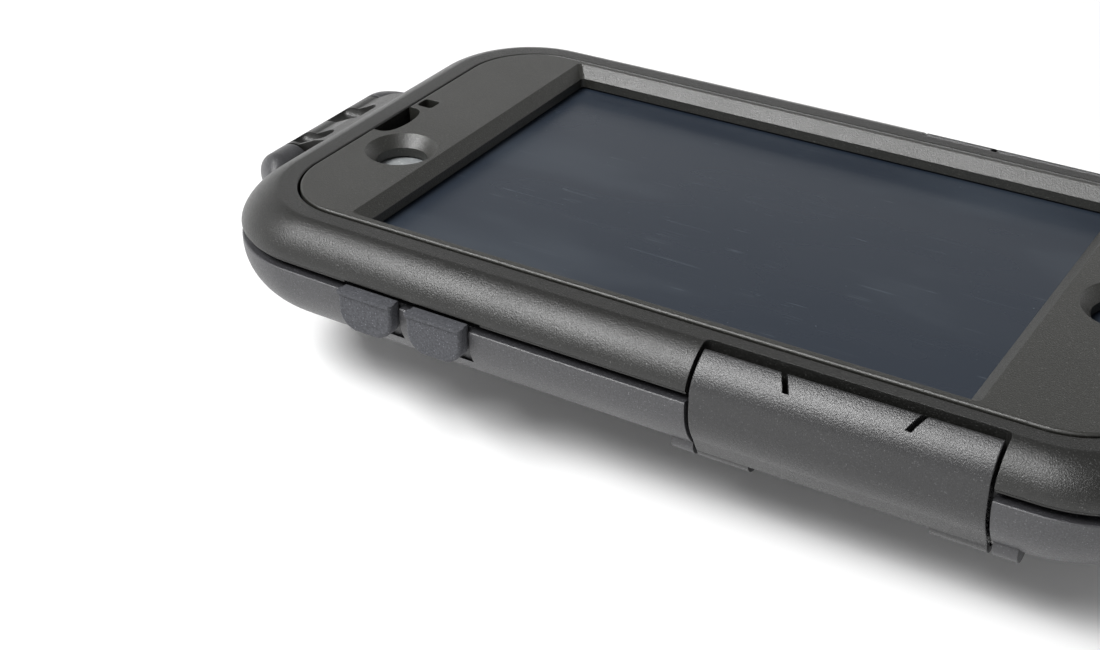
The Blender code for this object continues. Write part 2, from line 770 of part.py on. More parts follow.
def cut_rear_window(shell):
    """Hole through the back for the phone's camera, with a seat for its pane."""
    x = TOP_END + REAR_X
    above = FLOOR_Z + OVERCUT
    seat_z = FLOOR_Z - REAR_PANE_T - SEAT_GAP
    cut(shell, rod("rear_hole", REAR_R, (x, REAR_Y, BACK_Z - OVERCUT), (x, REAR_Y, above)),
        rod("rear_seat", REAR_PANE_R + SEAT_GAP, (x, REAR_Y, seat_z), (x, REAR_Y, above)))


def base_latch_recess(side):
    """Space in the shell's side that a closed latch lies in."""
    inner = [p for p in latch_inner(LATCH_WALL_GAP) if p[1] < RIM_Z]
    low_z = BACK_Z + LATCH_EDGE_RISE - OUTSIDE
    high_z = RIM_Z + OUTSIDE
    section = [(inner[0][0], low_z)] + inner
    section += [(inner[-1][0], high_z), (-OUTSIDE, high_z), (-OUTSIDE, low_z)]
    return side_body(f"base_latch_space_{side}", section, LATCH_X0 - LATCH_END_GAP,
                     LATCH_X1 + LATCH_END_GAP, side)


def make_seal(mat):
    top = SEAM_TOP_Z - SEAL_UNDER_COVER
    low = RIM_Z - CHANNEL_D + CHANNEL_CLEAR
    inner = SEAL_INSET + SEAL_W
    profile = [(SEAL_INSET, low), (SEAL_INSET, top), (inner, top), (inner, low)]
    return part(swept("case_seal", profile, closed=True), mat)


def make_liner(mat):
    """Soft tray with low walls that the phone lies in."""
    outer = CAVITY_INSET + SEAT_GAP
    inner = outer + LINER_T
    low = FLOOR_Z + SEAT_GAP
    floor = low + LINER_FLOOR_T
    top = low + LINER_H
    profile = [(inner, floor), (inner, top), (outer, top), (outer, low + CAVITY_BEVEL),
               (outer + CAVITY_BEVEL, low)]
    liner = part(swept("phone_liner", profile), mat)
    for i in range(2):
        cut(liner, stem_space(f"liner_stem_space_{i}", i, LINER_HOLE_CLEAR))
    x = TOP_END + REAR_X
    cut(liner, rod("liner_rear_hole", REAR_R + LINER_HOLE_CLEAR, (x, REAR_Y, low - OVERCUT),
                   (x, REAR_Y, floor + OVERCUT)))
    return liner


def button_x(index):
    return TOP_END + BUTTON_START + index * BUTTON_PITCH


def button_inner_y(index):
    """Inner face of a button's pad."""
    return side_y(button_x(index) + BUTTON_L / 2, BUTTON_SET_IN)


def button_pocket(index):
    x = button_x(index)
    deep = button_inner_y(index) - BUTTON_TRAVEL - BUTTON_GAP
    low = (x - BUTTON_GAP, -HALF_W - OUTSIDE, BUTTON_TOP_Z - BUTTON_H - BUTTON_GAP)
    high = (x + BUTTON_L + BUTTON_GAP, -deep, RIM_Z + OVERCUT)
    return box(f"button_pocket_{index}", low, high)


def stem_space(name, index, grow):
    middle = button_x(index) + BUTTON_L / 2
    half_l = STEM_L / 2 + BUTTON_GAP + grow
    half_h = STEM_H / 2 + BUTTON_GAP + grow
    return box(name, (middle - half_l, -HALF_W, STEM_Z - half_h),
               (middle + half_l, -PHONE_W / 2 + OVERCUT, STEM_Z + half_h))


def button_loop(x, y, shrink):
    """Outline of a button with a straight top and round lower corners."""
    low_z = BUTTON_TOP_Z - BUTTON_H + BUTTON_R
    radius = BUTTON_R - shrink
    loop = [Vector((x + shrink, y, BUTTON_TOP_Z - shrink)),
            Vector((x + BUTTON_L - shrink, y, BUTTON_TOP_Z - shrink))]
    for centre_x, start in ((x + BUTTON_L - BUTTON_R, 0), (x + BUTTON_R, 90)):
        for i in range(7):
            angle = math.radians(start + 90 * i / 6)
            loop.append(Vector((centre_x + radius * math.cos(angle), y, low_z - radius * math.sin(angle))))
    return loop


def make_button(name, index, mat, axis):
    """Rubber pad with a rounded face and a lip at its top, and the stem that reaches the phone's key."""
    x = button_x(index)
    inner = button_inner_y(index)
    outer = inner + BUTTON_SET_IN + BUTTON_PROUD
    loops = [button_loop(x, -inner, 0.0)]
    for shrink, drop in edge_round(BUTTON_EDGE, BUTTON_EDGE_STEPS):
        loops.append(button_loop(x, -outer + drop, shrink))
    button = part(loft(name, loops), mat, axis)
    lip_y = (outer + BUTTON_LIP, inner + BUTTON_SET_IN + BUTTON_LIP_OUT)
    join(button, box(f"{name}_lip", (x - BUTTON_LIP, -lip_y[0], BUTTON_TOP_Z - BUTTON_LIP_T),
                     (x + BUTTON_L + BUTTON_LIP, -lip_y[1], BUTTON_TOP_Z + FACE_STEP), BUTTON_LIP_R / 2))
    middle = x + BUTTON_L / 2
    join(button, box(f"{name}_stem", (middle - STEM_L / 2, -inner - STEM_ROOT, STEM_Z - STEM_H / 2),
                     (middle + STEM_L / 2, -PHONE_W / 2 - STEM_TO_PHONE, STEM_Z + STEM_H / 2)))
    return button


def make_button_seal(mat):
    """Rubber strip in the seam behind both buttons, with a square end past the second."""
    x0 = button_x(0)
    x1 = button_x(1) + BUTTON_L + BUTTON_SEAL_REACH
    outer = side_y(x0, BUTTON_DEEP + BUTTON_GAP + BUTTON_NOTCH_BACK)
    middle_z = (SEAM_TOP_Z + RIM_Z) / 2
    strip = box("button_seal", (x0, -outer, middle_z - BUTTON_SEAL_H / 2),
                (x1, -outer + BUTTON_SEAL_W, middle_z + BUTTON_SEAL_H / 2))
    return part(strip, mat)


def make_latch(name, side, mat, axis):
    """Curved side latch with two knuckles and two slits that let its middle flex."""
    section = latch_outer() + latch_inner(0.0)
    latch = part(side_body(name, section, LATCH_X0, LATCH_X1, side), mat, axis)
    ends = ((LATCH_X0, LATCH_X0 + KNUCKLE_L), (LATCH_X1 - KNUCKLE_L, LATCH_X1))
    for i, (start, end) in enumerate(ends):
        join(latch, pivot_rod(f"{name}_knuckle_{i}", KNUCKLE_R, start, end, side))
    bore_r = LATCH_PIN_R + PIN_CLEAR
    cut(latch, pivot_rod(f"{name}_bore", bore_r, LATCH_X0 - OVERCUT, LATCH_X1 + OVERCUT, side))
    for i, (x, inward) in enumerate(((LATCH_X0, 1), (LATCH_X1, -1))):
        cut(latch, latch_slit(f"{name}_slit_{i}", x, inward, side),
            latch_corner(f"{name}_corner_{i}", x, inward, side))
    return latch


def latch_slit(name, x, inward, side):
    """Cutter for the slanted slit that runs out from a latch's tip."""
    tip = side_y(x, LATCH_TIP_INSET)
    plan = []
    for half in (-SLIT_W / 2, SLIT_W / 2):
        ends = [(SLIT_X + half + SLIT_LEAN * reach / SLIT_D, reach) for reach in (-OVERCUT, SLIT_D)]
        plan += ends if half < 0 else reversed(ends)
    loops = [[Vector((x + inward * a, side * (tip + b), z)) for a, b in plan]
             for z in (SLIT_LOW_Z, OVERCUT)]
    return loft(name, loops)


def latch_corner(name, x, inward, side):
    """Cutter that rounds one corner of a latch's tip, seen from above."""
    tip = side_y(x, LATCH_TIP_INSET)
    radius = LATCH_CORNER_R
    plan = [(-OVERCUT, radius), (-OVERCUT, -OVERCUT), (radius, -OVERCUT)]
    for i in range(LATCH_CORNER_STEPS + 1):
        angle = math.pi / 2 * i / LATCH_CORNER_STEPS
        plan.append((radius * (1 - math.sin(angle)), radius * (1 - math.cos(angle))))
    loops = [[Vector((x + inward * a, side * (tip + b), z)) for a, b in plan]
             for z in (SLIT_LOW_Z, OVERCUT)]
    return loft(name, loops)


def make_latch_pin(name, side, mat):
    reach = LATCH_END_GAP + PIN_HOLD - SEAT_GAP
    return part(pivot_rod(name, LATCH_PIN_R, LATCH_X0 - reach, LATCH_X1 + reach, side, PIN_ROUND), mat)


def make_hinge_pin(mat):
    return part(hinge_rod("lid_hinge_pin", HINGE_PIN_R, HINGE_PIN_HALF), mat)


def make_rear_window(mat):
    pane = disc("rear_camera_window", REAR_PANE_R, FLOOR_Z, REAR_PANE_T, TOP_END + REAR_X, REAR_Y)
    return part(pane, mat)


# Mount foot and its screws

def screw_places():
    x = FOOT_PLATE_L / 2 - SCREW_FROM_END
    y = FOOT_PLATE_W / 2 - SCREW_FROM_SIDE
    return [(sx * x, sy * y) for sx in (-1, 1) for sy in (-1, 1)]


def make_foot(mat):
    """Screwed-on plate with the round quarter-turn foot that locks into a handlebar mount."""
    low = FOOT_PLATE_Z
    flange_top = low - NECK_H
    bottom = flange_top - FLANGE_T
    edge = FOOT_PLATE_EDGE
    loops = [round_rect(FOOT_PLATE_L - 2 * edge, FOOT_PLATE_W - 2 * edge, FOOT_PLATE_R - edge, low),
             round_rect(FOOT_PLATE_L, FOOT_PLATE_W, FOOT_PLATE_R, low + edge),
             round_rect(FOOT_PLATE_L, FOOT_PLATE_W, FOOT_PLATE_R, FOOT_TOP_Z)]
    foot = part(loft("mount_foot", loops), mat)
    profile = [(0.0, low + OVERCUT), (NECK_R, low + OVERCUT), (NECK_R, flange_top),
               (FLANGE_R - FLANGE_EDGE, flange_top), (FLANGE_R, flange_top - FLANGE_EDGE),
               (FLANGE_R, bottom + FLANGE_EDGE), (FLANGE_R - FLANGE_EDGE, bottom), (0.0, bottom)]
    join(foot, turned("foot_flange", profile))
    for side in (1, -1):
        y = sorted((side * FLANGE_FLAT, side * (FLANGE_R + OVERCUT)))
        cut(foot, box(f"flange_flat_{side}", (-FLANGE_R, y[0], bottom - OVERCUT),
                      (FLANGE_R, y[1], flange_top + FLAT_ABOVE)))
    for i, (x, y) in enumerate(screw_places()):
        cut(foot, turned(f"screw_space_{i}", screw_space_profile(), x, y, SCREW_ROUND))
    return foot


def screw_space_profile():
    """Countersunk hole through the foot's plate."""
    low = FOOT_PLATE_Z
    above = FOOT_TOP_Z + OVERCUT
    head = SCREW_HEAD_R + SEAT_GAP
    neck = SCREW_R + PIN_CLEAR
    return [(0.0, above), (neck, above), (neck, low + SCREW_HEAD_H), (head, low),
            (head, low - OVERCUT), (0.0, low - OVERCUT)]


def make_screws(mat):
    low = FOOT_PLATE_Z
    profile = [(0.0, SCREW_TOP_Z), (SCREW_R, SCREW_TOP_Z), (SCREW_R, low + SCREW_HEAD_H),
               (SCREW_HEAD_R, low), (0.0, low)]
    for i, (x, y) in enumerate(screw_places()):
        screw = part(turned(f"mount_screw_{i + 1}", profile, x, y, SCREW_ROUND), mat)
        cut(screw, rod(f"screw_socket_{i}", SCREW_SOCKET_R, (x, y, low - OVERCUT),
                       (x, y, low + SCREW_SOCKET_D), 6))


# Assembly

def build():
    black = material("black_moulded_plastic", (0.045, 0.045, 0.043), 0.42)
    plate_grey = material("textured_plate_plastic", (0.085, 0.085, 0.078), 0.6)
    rubber = material("grey_rubber", (0.055, 0.058, 0.063), 0.8)
    seal = material("black_seal_rubber", (0.012, 0.012, 0.012), 0.75)
    liner = material("liner_silicone", (0.03, 0.03, 0.032), 0.7)
    film = material("touch_film", (0.07, 0.085, 0.1), 0.08, alpha=0.9)
    clear = material("clear_pane", (0.55, 0.56, 0.57), 0.1, alpha=0.6)
    steel = material("pin_steel", (0.5, 0.5, 0.5), 0.3, metallic=1.0)

    lid_axis = datum("lid_hinge_axis", HINGE_CX, HINGE_Y, HINGE_Z, CASE_DATUM)
    make_cover(black, lid_axis)
    make_plate(plate_grey, lid_axis)
    make_film(film, lid_axis)
    make_lens(clear, lid_axis)

    make_shell(black)
    make_seal(seal)
    make_liner(liner)
    make_button_seal(seal)
    make_rear_window(clear)
    make_hinge_pin(steel)

    for name, side in (("left", -1), ("right", 1)):
        axis = datum(f"latch_axis_{name}", LATCH_X0 + LATCH_L / 2, side * PIVOT_Y, PIVOT_Z, CASE_DATUM)
        make_latch(f"latch_{name}", side, black, axis)
        make_latch_pin(f"latch_pin_{name}", side, steel)
    for index, name in enumerate(("volume_up_button", "volume_down_button")):
        middle_x = button_x(index) + BUTTON_L / 2
        axis = datum(f"{name}_axis", middle_x, -button_inner_y(index), STEM_Z, CASE_DATUM)
        make_button(name, index, rubber, axis)

    make_foot(black)
    make_screws(steel)


build()
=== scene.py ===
import math

import bmesh
import bpy
from mathutils import Matrix, Quaternion, Vector


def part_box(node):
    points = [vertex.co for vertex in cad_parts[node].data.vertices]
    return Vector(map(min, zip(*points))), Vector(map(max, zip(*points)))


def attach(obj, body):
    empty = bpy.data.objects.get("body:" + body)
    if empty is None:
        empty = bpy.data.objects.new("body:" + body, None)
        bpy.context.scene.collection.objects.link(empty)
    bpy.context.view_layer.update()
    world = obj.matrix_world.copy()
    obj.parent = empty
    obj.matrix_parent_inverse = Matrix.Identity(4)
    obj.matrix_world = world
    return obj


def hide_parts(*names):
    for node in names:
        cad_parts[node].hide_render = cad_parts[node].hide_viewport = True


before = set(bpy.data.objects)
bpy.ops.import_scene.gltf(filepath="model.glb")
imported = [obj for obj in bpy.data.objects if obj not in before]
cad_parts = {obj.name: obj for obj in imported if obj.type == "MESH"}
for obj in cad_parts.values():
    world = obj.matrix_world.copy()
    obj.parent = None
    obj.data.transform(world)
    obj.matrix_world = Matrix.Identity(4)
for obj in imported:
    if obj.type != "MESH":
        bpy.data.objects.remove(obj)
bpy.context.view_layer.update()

# Looks of a handlebar phone case. Lengths are in metres. Every piece is made in the case's own
# heights, measured down from the front plate's top face, and then lifted to its place.

# Sizes read from the frame
PLATE_LOW, PLATE_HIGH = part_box("front_plate")
SHELL_LOW, SHELL_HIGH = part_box("back_shell")
FOOT_LOW, FOOT_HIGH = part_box("mount_foot")
TOP_Z = PLATE_HIGH.z
PLATE_L = PLATE_HIGH.x - PLATE_LOW.x
PLATE_W = PLATE_HIGH.y - PLATE_LOW.y
PLATE_T = PLATE_HIGH.z - PLATE_LOW.z
BACK_Z = SHELL_LOW.z - TOP_Z
FOOT_TOP_Z = FOOT_HIGH.z - TOP_Z
FOOT_LOW_Z = FOOT_LOW.z - TOP_Z

# Sizes of the case's section and outline
SEAT_GAP = 0.0003
OVERCUT = 0.001
OUTSIDE = 0.004
FACE_STEP = 0.00005
PLATE_R = 0.01045
PLATE_EDGE = 0.00035
GROOVE = 0.00035
SIDE_RIM = 0.0068
END_RIM = 0.00765
CORNER_R = 0.0161
SIDE_BOW = 0.0006
LEAST_R = 0.002
CREST_Z = -0.0002
CREST_EDGE = 0.00025
CROWN_W = 0.00457
CROWN_H = 0.0045
CROWN_POWER = 1.55
CROWN_SET_IN = 0.00005
LIP_W = 0.00032
LIP_H = 0.0003
LIP_EDGE = 0.00012
SEAM_TOP_Z = -0.0053
SEAT_LEDGE_W = 0.00105
SEAM = 0.0010
RIM_CHAMFER = 0.00025
SIDE_TURN_Z = -0.0072
SIDE_TURN_W = 0.0072
SIDE_TURN_RISE = 0.0019
SIDE_TURN_ANGLE = 65.0
BACK_PROFILE = ((0.0065, 0.0017), (0.0095, 0.0009), (0.0135, 0.0003), (0.0184, 0.0))
BACK_T = 0.0029
CAVITY_BEVEL = 0.0008
CAVITY_OVER_PLATE = 0.0003
SEAL_INSET = 0.0050
SEAL_W = 0.0009
CHANNEL_CLEAR = 0.0002
CHANNEL_D = 0.0008

# Window and smaller openings
WINDOW_START = 0.0149
WINDOW_END = 0.0195
WINDOW_IN = 0.0027
WINDOW_R = 0.0006
WINDOW_CHAMFER = 0.0017
WINDOW_CHAMFER_D = 0.0015
CAMERA_X = 0.0075
CAMERA_Y = -0.00986
CAMERA_R = 0.0036
HOME_FROM_END = 0.0097
HOME_R = 0.0046
SINK_W = 0.00156
SINK_D = 0.0016
LENS_RIM = 0.0009
LENS_T = 0.0008
PANE_EDGE = 0.00008
EAR_SLOT_W = 0.0090
EAR_SLOT_D = 0.0033
EAR_SLOT_Y = -0.0021
EAR_HOOK_W = 0.0026
EAR_HOOK_D = 0.0032
EAR_HOOK_START = 0.0006
EAR_HOOK_R = 0.0006
EAR_BRIDGE = 0.0010

# Lid hinge
HINGE_OUT = 0.0024
HINGE_Y = -0.0021
HINGE_Z = -0.0060
HINGE_R = 0.0032
HINGE_GAP = 0.00035
HINGE_PIN_R = 0.0010
PIN_EDGE = 0.0001
PIN_IN_LUG = 0.0036
ARM_W = 0.0192
ARM_GAP = 0.0004
ARM_TOP_Z = -0.00075
ARM_TOP_IN = 0.0037
ARM_ROOT = 0.0008
ARM_SLOPE_IN = 0.0010
ARM_SLOPE_Z = -0.0015
ARM_START_ANGLE = 80.0
ARM_SEAM_STEP = 0.0001
LUG_W = 0.0076
LUG_FULL_W = 0.0034
LUG_FAR_FULL_W = 0.0006
LUG_TIP_R = 0.0009
# each hollow's middle along Y from the hinge's middle, and its width
SCOOPS = ((-0.0072, 0.0038), (0.0020, 0.0056))
SCOOP_OUT = 0.0047
SCOOP_IN = 0.0022
SCOOP_LOW_Z = -0.0042
SCOOP_ROUND = 0.0013

# Side latches
LATCH_START = 0.0686
LATCH_L = 0.0363
LATCH_T = 0.0017
LATCH_END_GAP = 0.0005
LATCH_WALL_GAP = 0.00035
LATCH_TIP_INSET = 0.00435
LATCH_TIP_GAP = 0.0005
LATCH_TIP_DROP = 0.0008
LATCH_TIP_ROUND = 0.0009
LATCH_CORNER_R = 0.0009
LATCH_CORNER_STEPS = 16
LATCH_EDGE_RISE = 0.0029
LATCH_LOW_INSET = 0.00237
LATCH_LOW_RISE = 0.0031
LATCH_LOW_T = 0.00075
LATCH_HEEL_RISE = 0.0035
LATCH_BEND_RISE = 0.0053
LATCH_ROUND = 0.00018
RECESS_R = 0.0010
KNUCKLE_L = 0.0068
KNUCKLE_R = 0.00185
PIVOT_INSET = 0.00405
PIVOT_RISE = 0.0033
PIVOT_LUG_L = 0.0030
LATCH_PIN_R = 0.00075
PIN_CLEAR = 0.0003
PIN_HOLD = 0.0021
SLIT_X = 0.0097
SLIT_FAR_X = 0.0085
SLIT_W = 0.0008
SLIT_D = 0.0029
SLIT_LEAN = 0.0017
SLIT_LOW_Z = -0.0045

# Volume buttons, their tops just under the cover's edge
BUTTON_START = 0.0182
BUTTON_L = 0.0083
BUTTON_PITCH = 0.0108
BUTTON_DROP = 0.0001
BUTTON_H = 0.0055
BUTTON_PROUD = 0.0016
BUTTON_R = 0.0028
BUTTON_EDGE = 0.0005
BUTTON_LIP = 0.0002
BUTTON_LIP_T = 0.0004
BUTTON_LIP_OUT = 0.0004
BUTTON_LIP_R = 0.0010
BUTTON_TRAVEL = 0.0007
BUTTON_GAP = 0.0003
BUTTON_SET_IN = 0.0003
BUTTON_NOTCH_H = 0.00035
BUTTON_NOTCH_BACK = 0.0004
BUTTON_NOTCH_PAST = 0.0018
STEM_L = 0.0050
STEM_H = 0.0020
STEM_Z = -0.0092
STEM_ROOT = 0.0005
STEM_TO_PHONE = 0.0004

# Phone bay, rear window and foot
PHONE_W = 0.0586
LINER_T = 0.0005
LINER_FLOOR_T = 0.0008
LINER_H = 0.0053
LINER_HOLE_CLEAR = 0.0004
REAR_X = 0.0104
REAR_Y = 0.0170
REAR_R = 0.0050
REAR_PANE_RIM = 0.0012
REAR_PANE_T = 0.0007
FOOT_PLATE_L = 0.046
FOOT_PLATE_W = 0.036
FOOT_PLATE_T = 0.0023
FOOT_PLATE_R = 0.006
FOOT_PLATE_EDGE = 0.0006
NECK_R = 0.0110
NECK_H = 0.0030
FLANGE_R = 0.0160
FLANGE_EDGE = 0.0006
FLANGE_FLAT = 0.0125
FLAT_ABOVE = 0.0015
SCREW_FROM_END = 0.005
SCREW_FROM_SIDE = 0.005
SCREW_HEAD_R = 0.0021
SCREW_R = 0.0011
SCREW_HEAD_H = 0.0011
SCREW_UNDER_FLOOR = 0.0015
SCREW_SOCKET_R = 0.0010
SCREW_SOCKET_D = 0.0007

# Fineness of the meshes
CORNER_STEPS = 28
SIDE_STEPS = 24
CROWN_STEPS = 22
SIDE_TURN_STEPS = 22
LATCH_STEPS = 16
EDGE_STEPS = 4
BEVEL_STEPS = 3
BEVEL_ANGLE = 50.0
BOX_STEPS = 6
BACK_STEPS = 6
PANEL_STEPS = 20
WINDOW_STEPS = 6
SLOT_STEPS = 48
ARM_STEPS = 64
LUG_STEPS = 20
PAD_STEPS = 20
SCREW_STEPS = 48
SOCKET_SIDES = 6
ROUND = 96
SHARP_ANGLE = 35.0
WELD_DISTANCE = 0.00001
CORNERS = ((1, 1, 0), (-1, 1, 90), (-1, -1, 180), (1, -1, 270))

# Sizes that follow from those above
HALF_W = PLATE_W / 2 + GROOVE + SIDE_RIM
HALF_L = PLATE_L / 2 + GROOVE + END_RIM
CORNER_RATIO = (CORNER_R - PLATE_R - GROOVE) / SIDE_RIM
END_RATIO = END_RIM / SIDE_RIM
TOP_END = -PLATE_L / 2
CASE_END = -HALF_L
RIM_Z = SEAM_TOP_Z - SEAM
UNDER_PLATE_Z = -PLATE_T - SEAT_GAP
LEDGE_INSET = SIDE_RIM + SEAT_LEDGE_W
CAVITY_INSET = GROOVE + SIDE_RIM - CAVITY_OVER_PLATE
FLOOR_Z = BACK_Z + BACK_T
SIDE_TURN_H = SIDE_TURN_Z - BACK_Z - SIDE_TURN_RISE
WINDOW_L = PLATE_L - WINDOW_START - WINDOW_END
WINDOW_W = PLATE_W - 2 * WINDOW_IN
HINGE_CX = CASE_END - HINGE_OUT
HINGE_PIN_HALF = ARM_W / 2 + ARM_GAP + PIN_IN_LUG
LATCH_X0 = TOP_END + LATCH_START
LATCH_X1 = LATCH_X0 + LATCH_L
LATCH_WALL_Y = HALF_W - LATCH_TIP_INSET - LATCH_TIP_GAP
PIVOT_Y = HALF_W - PIVOT_INSET
PIVOT_Z = BACK_Z + PIVOT_RISE
BUTTON_TOP_Z = SEAM_TOP_Z - BUTTON_DROP
BUTTON_DEEP = BUTTON_SET_IN + BUTTON_TRAVEL + BUTTON_GAP
REAR_PANE_R = REAR_R + REAR_PANE_RIM
FOOT_PLATE_Z = FOOT_TOP_Z - FOOT_PLATE_T
SCREW_TOP_Z = FLOOR_Z - SCREW_UNDER_FLOOR


# Material nodes

def fill(tree, node, inputs):
    """Link or set a node's inputs."""
    for key, value in inputs.items():
        if isinstance(value, bpy.types.NodeSocket):
            tree.links.new(value, node.inputs[key])
        else:
            node.inputs[key].default_value = value


def add(tree, kind, settings=None, inputs=None):
    """New node with its settings, and its inputs linked or set."""
    node = tree.nodes.new(kind)
    for key, value in (settings or {}).items():
        setattr(node, key, value)
    fill(tree, node, inputs or {})
    return node


def new_material(name):
    mat = bpy.data.materials.new(name)
    mat.use_nodes = True
    tree = mat.node_tree
    return mat, tree, tree.nodes["Principled BSDF"]


def places(tree, stretch=(1.0, 1.0, 1.0), turn=0.0):
    """Object coordinates, stretched and turned about Z."""
    coords = add(tree, "ShaderNodeTexCoord").outputs["Object"]
    inputs = {"Vector": coords, "Scale": stretch, "Rotation": (0.0, 0.0, turn)}
    return add(tree, "ShaderNodeMapping", inputs=inputs).outputs["Vector"]


def noise(tree, vector, grain, detail=2.0, roughness=0.5, distortion=0.0):
    """Cloudy value whose features are about grain metres wide."""
    inputs = {"Vector": vector, "Scale": 1.0 / grain, "Detail": detail, "Roughness": roughness,
              "Distortion": distortion}
    return add(tree, "ShaderNodeTexNoise", inputs=inputs).outputs["Fac"]


def ramp(tree, value, stops):
    """Colour ramp through (position, colour) stops."""
    node = add(tree, "ShaderNodeValToRGB", inputs={"Fac": value})
    elements = node.color_ramp.elements
    while len(elements) < len(stops):
        elements.new(0.5)
    for element, (position, colour) in zip(elements, stops):
        element.position = position
        element.color = (*colour, 1.0)
    return node.outputs["Color"]


def span(tree, value, low, high, to_low, to_high):
    """Value taken from low..high to to_low..to_high, clamped."""
    inputs = {"Value": value, "From Min": low, "From Max": high, "To Min": to_low, "To Max": to_high}
    return add(tree, "ShaderNodeMapRange", inputs=inputs).outputs["Result"]


def math_node(tree, operation, first, second=0.0):
    return add(tree, "ShaderNodeMath", {"operation": operation}, {0: first, 1: second}).outputs["Value"]


def mix_colours(tree, share, first, second):
    """Mix of two colours, each an RGB triple or a socket."""
    first, second = [(*c, 1.0) if isinstance(c, tuple) else c for c in (first, second)]
    inputs = {0: share, 6: first, 7: second}
    return add(tree, "ShaderNodeMix", {"data_type": "RGBA"}, inputs).outputs[2]


def bump(tree, height, distance, strength=1.0, edge=0.0):
    """Surface normal from a height, over edges rounded by edge metres in the shading."""
    inputs = {"Height": height, "Distance": distance, "Strength": strength}
    if edge:
        rounded = add(tree, "ShaderNodeBevel", {"samples": 4}, {"Radius": edge})
        inputs["Normal"] = rounded.outputs["Normal"]
    return add(tree, "ShaderNodeBump", inputs=inputs).outputs["Normal"]


def shades(colour, dark, light):
    """Darker and lighter versions of a colour."""
    return tuple(c * dark for c in colour), tuple(min(1.0, c * light) for c in colour)


# Finishes. Grains and depths are in metres; shares, gains and roughness have no unit.

CASE_COLOUR = (0.014, 0.014, 0.013)
# painted light: a little lighter than the cover's own plastic, standing in for the floor's bounce light on
# the latch
LATCH_PAINTED_LIGHT_COLOUR = (0.020, 0.020, 0.021)
# painted light: lighter and bluer than the cover's plastic, standing in for bounce light from the white floor
# on the shell's lower sides
BACK_PAINTED_BOUNCE_COLOUR = (0.038, 0.038, 0.042)
PLATE_COLOUR = (0.020, 0.020, 0.017)
FOOT_COLOUR = (0.026, 0.026, 0.026)
BUTTON_COLOUR = (0.070, 0.072, 0.081)
SEAL_COLOUR = (0.004, 0.004, 0.004)
LINER_COLOUR = (0.03, 0.03, 0.032)
FILM_COLOUR = (0.020, 0.028, 0.042)
FILM_MARK_COLOUR = (0.15, 0.18, 0.21)
PANE_DARK = (0.22, 0.235, 0.245)
PANE_LIGHT = (0.40, 0.415, 0.42)
STEEL_DARK = (0.36, 0.36, 0.355)
STEEL_LIGHT = (0.62, 0.62, 0.61)
WHITE = (1.0, 1.0, 1.0, 1.0)
BLACK = (0.0, 0.0, 0.0, 1.0)

SOFT_EDGE = 0.00012
CLOUD_LOW, CLOUD_HIGH = 0.3, 0.7
MOULD_GRAIN = 0.00020
FOOT_GRAIN = 0.00024
MOULD_DEPTH = 0.00005
SHALLOW_DEPTH = 0.00004
COARSE_GRAIN_GAIN = 1.8
COARSE_SHARE = 0.25
SHEEN_PATCH = 0.014
# painted highlight: pale specks mixed into the base colour stand in for glints of the grain
PAINTED_GLINT_GRAIN_GAIN = 0.9
PAINTED_GLINT_SHARE = 0.6
PAINTED_GLINT_GAIN = 4.0
PAINTED_GLINT_LIFT = 0.09
MOULD_ROUGH_VARY = 0.07
SHEEN_ROUGH_VARY = 0.03
RUBBER_GRAIN = 0.00028
RUBBER_ROUGH_VARY = 0.08
SPECKS_PER_METRE = 3400.0
SPECK_GAIN = 3.4
SMUDGE_GRAIN = 0.016
SMUDGE_SHARE = 0.16
DUST_GRAIN = 0.00045
SCRATCH_SHARE = 0.35
SCRATCH_BREAK = 0.006
SCRATCH_STRETCH = (0.02, 1.0, 1.0)
# turn about Z, grain, level of the noise that is drawn, and half its width
SCRATCHES = ((0.32, 0.0011, 0.63, 0.006), (-0.75, 0.0014, 0.66, 0.005))
FILM_IOR = 1.5
FILM_GRAIN = 0.0004
FILM_DEPTH = 0.000002
PANE_GRAIN = 0.0022
PANE_DEPTH = 0.00002
STEEL_LINES = 0.0001
STEEL_LINE_STRETCH = (0.08, 1.0, 1.0)
STEEL_STAIN = 0.0012
STEEL_DEPTH = 0.00001
STEEL_EDGE = 0.0001


def cloud_span(tree, value, to_low, to_high):
    """Middle of a noise's values taken to to_low..to_high."""
    return span(tree, value, CLOUD_LOW, CLOUD_HIGH, to_low, to_high)


def moulded_plastic(name, colour, roughness, gloss, grain=MOULD_GRAIN, depth=MOULD_DEPTH):
    """Spark-eroded mould texture: fine grain, scattered pale specks painted into the colour as glints
    (painted highlight), and a slow change of sheen.
    """
    mat, tree, shader = new_material(name)
    place = places(tree)
    fine = noise(tree, place, grain, 3.0, 0.65)
    coarse = noise(tree, place, grain * COARSE_GRAIN_GAIN)
    sheen = noise(tree, place, SHEEN_PATCH)
    dark, light = shades(colour, 0.62, 1.5)
    tint = ramp(tree, fine, [(0.32, dark), (0.5, colour), (0.7, light)])
    # painted highlight: pale specks in the base colour stand in for glints off the grain
    painted_glint = span(tree, noise(tree, place, grain * PAINTED_GLINT_GRAIN_GAIN, 1.0), 0.66, 0.76, 0.0, PAINTED_GLINT_SHARE)
    painted_glint_colour = tuple(min(1.0, c * PAINTED_GLINT_GAIN + PAINTED_GLINT_LIFT) for c in colour)
    fine_rough = cloud_span(tree, fine, roughness + MOULD_ROUGH_VARY, roughness - MOULD_ROUGH_VARY)
    slow_rough = cloud_span(tree, sheen, -SHEEN_ROUGH_VARY, SHEEN_ROUGH_VARY)
    height = math_node(tree, "ADD", fine, math_node(tree, "MULTIPLY", coarse, COARSE_SHARE))
    fill(tree, shader, {"Base Color": mix_colours(tree, painted_glint, tint, painted_glint_colour),
                        "Roughness": math_node(tree, "ADD", fine_rough, slow_rough),
                        "Specular IOR Level": gloss,
                        "Normal": bump(tree, height, depth, 1.0, SOFT_EDGE)})
    return mat


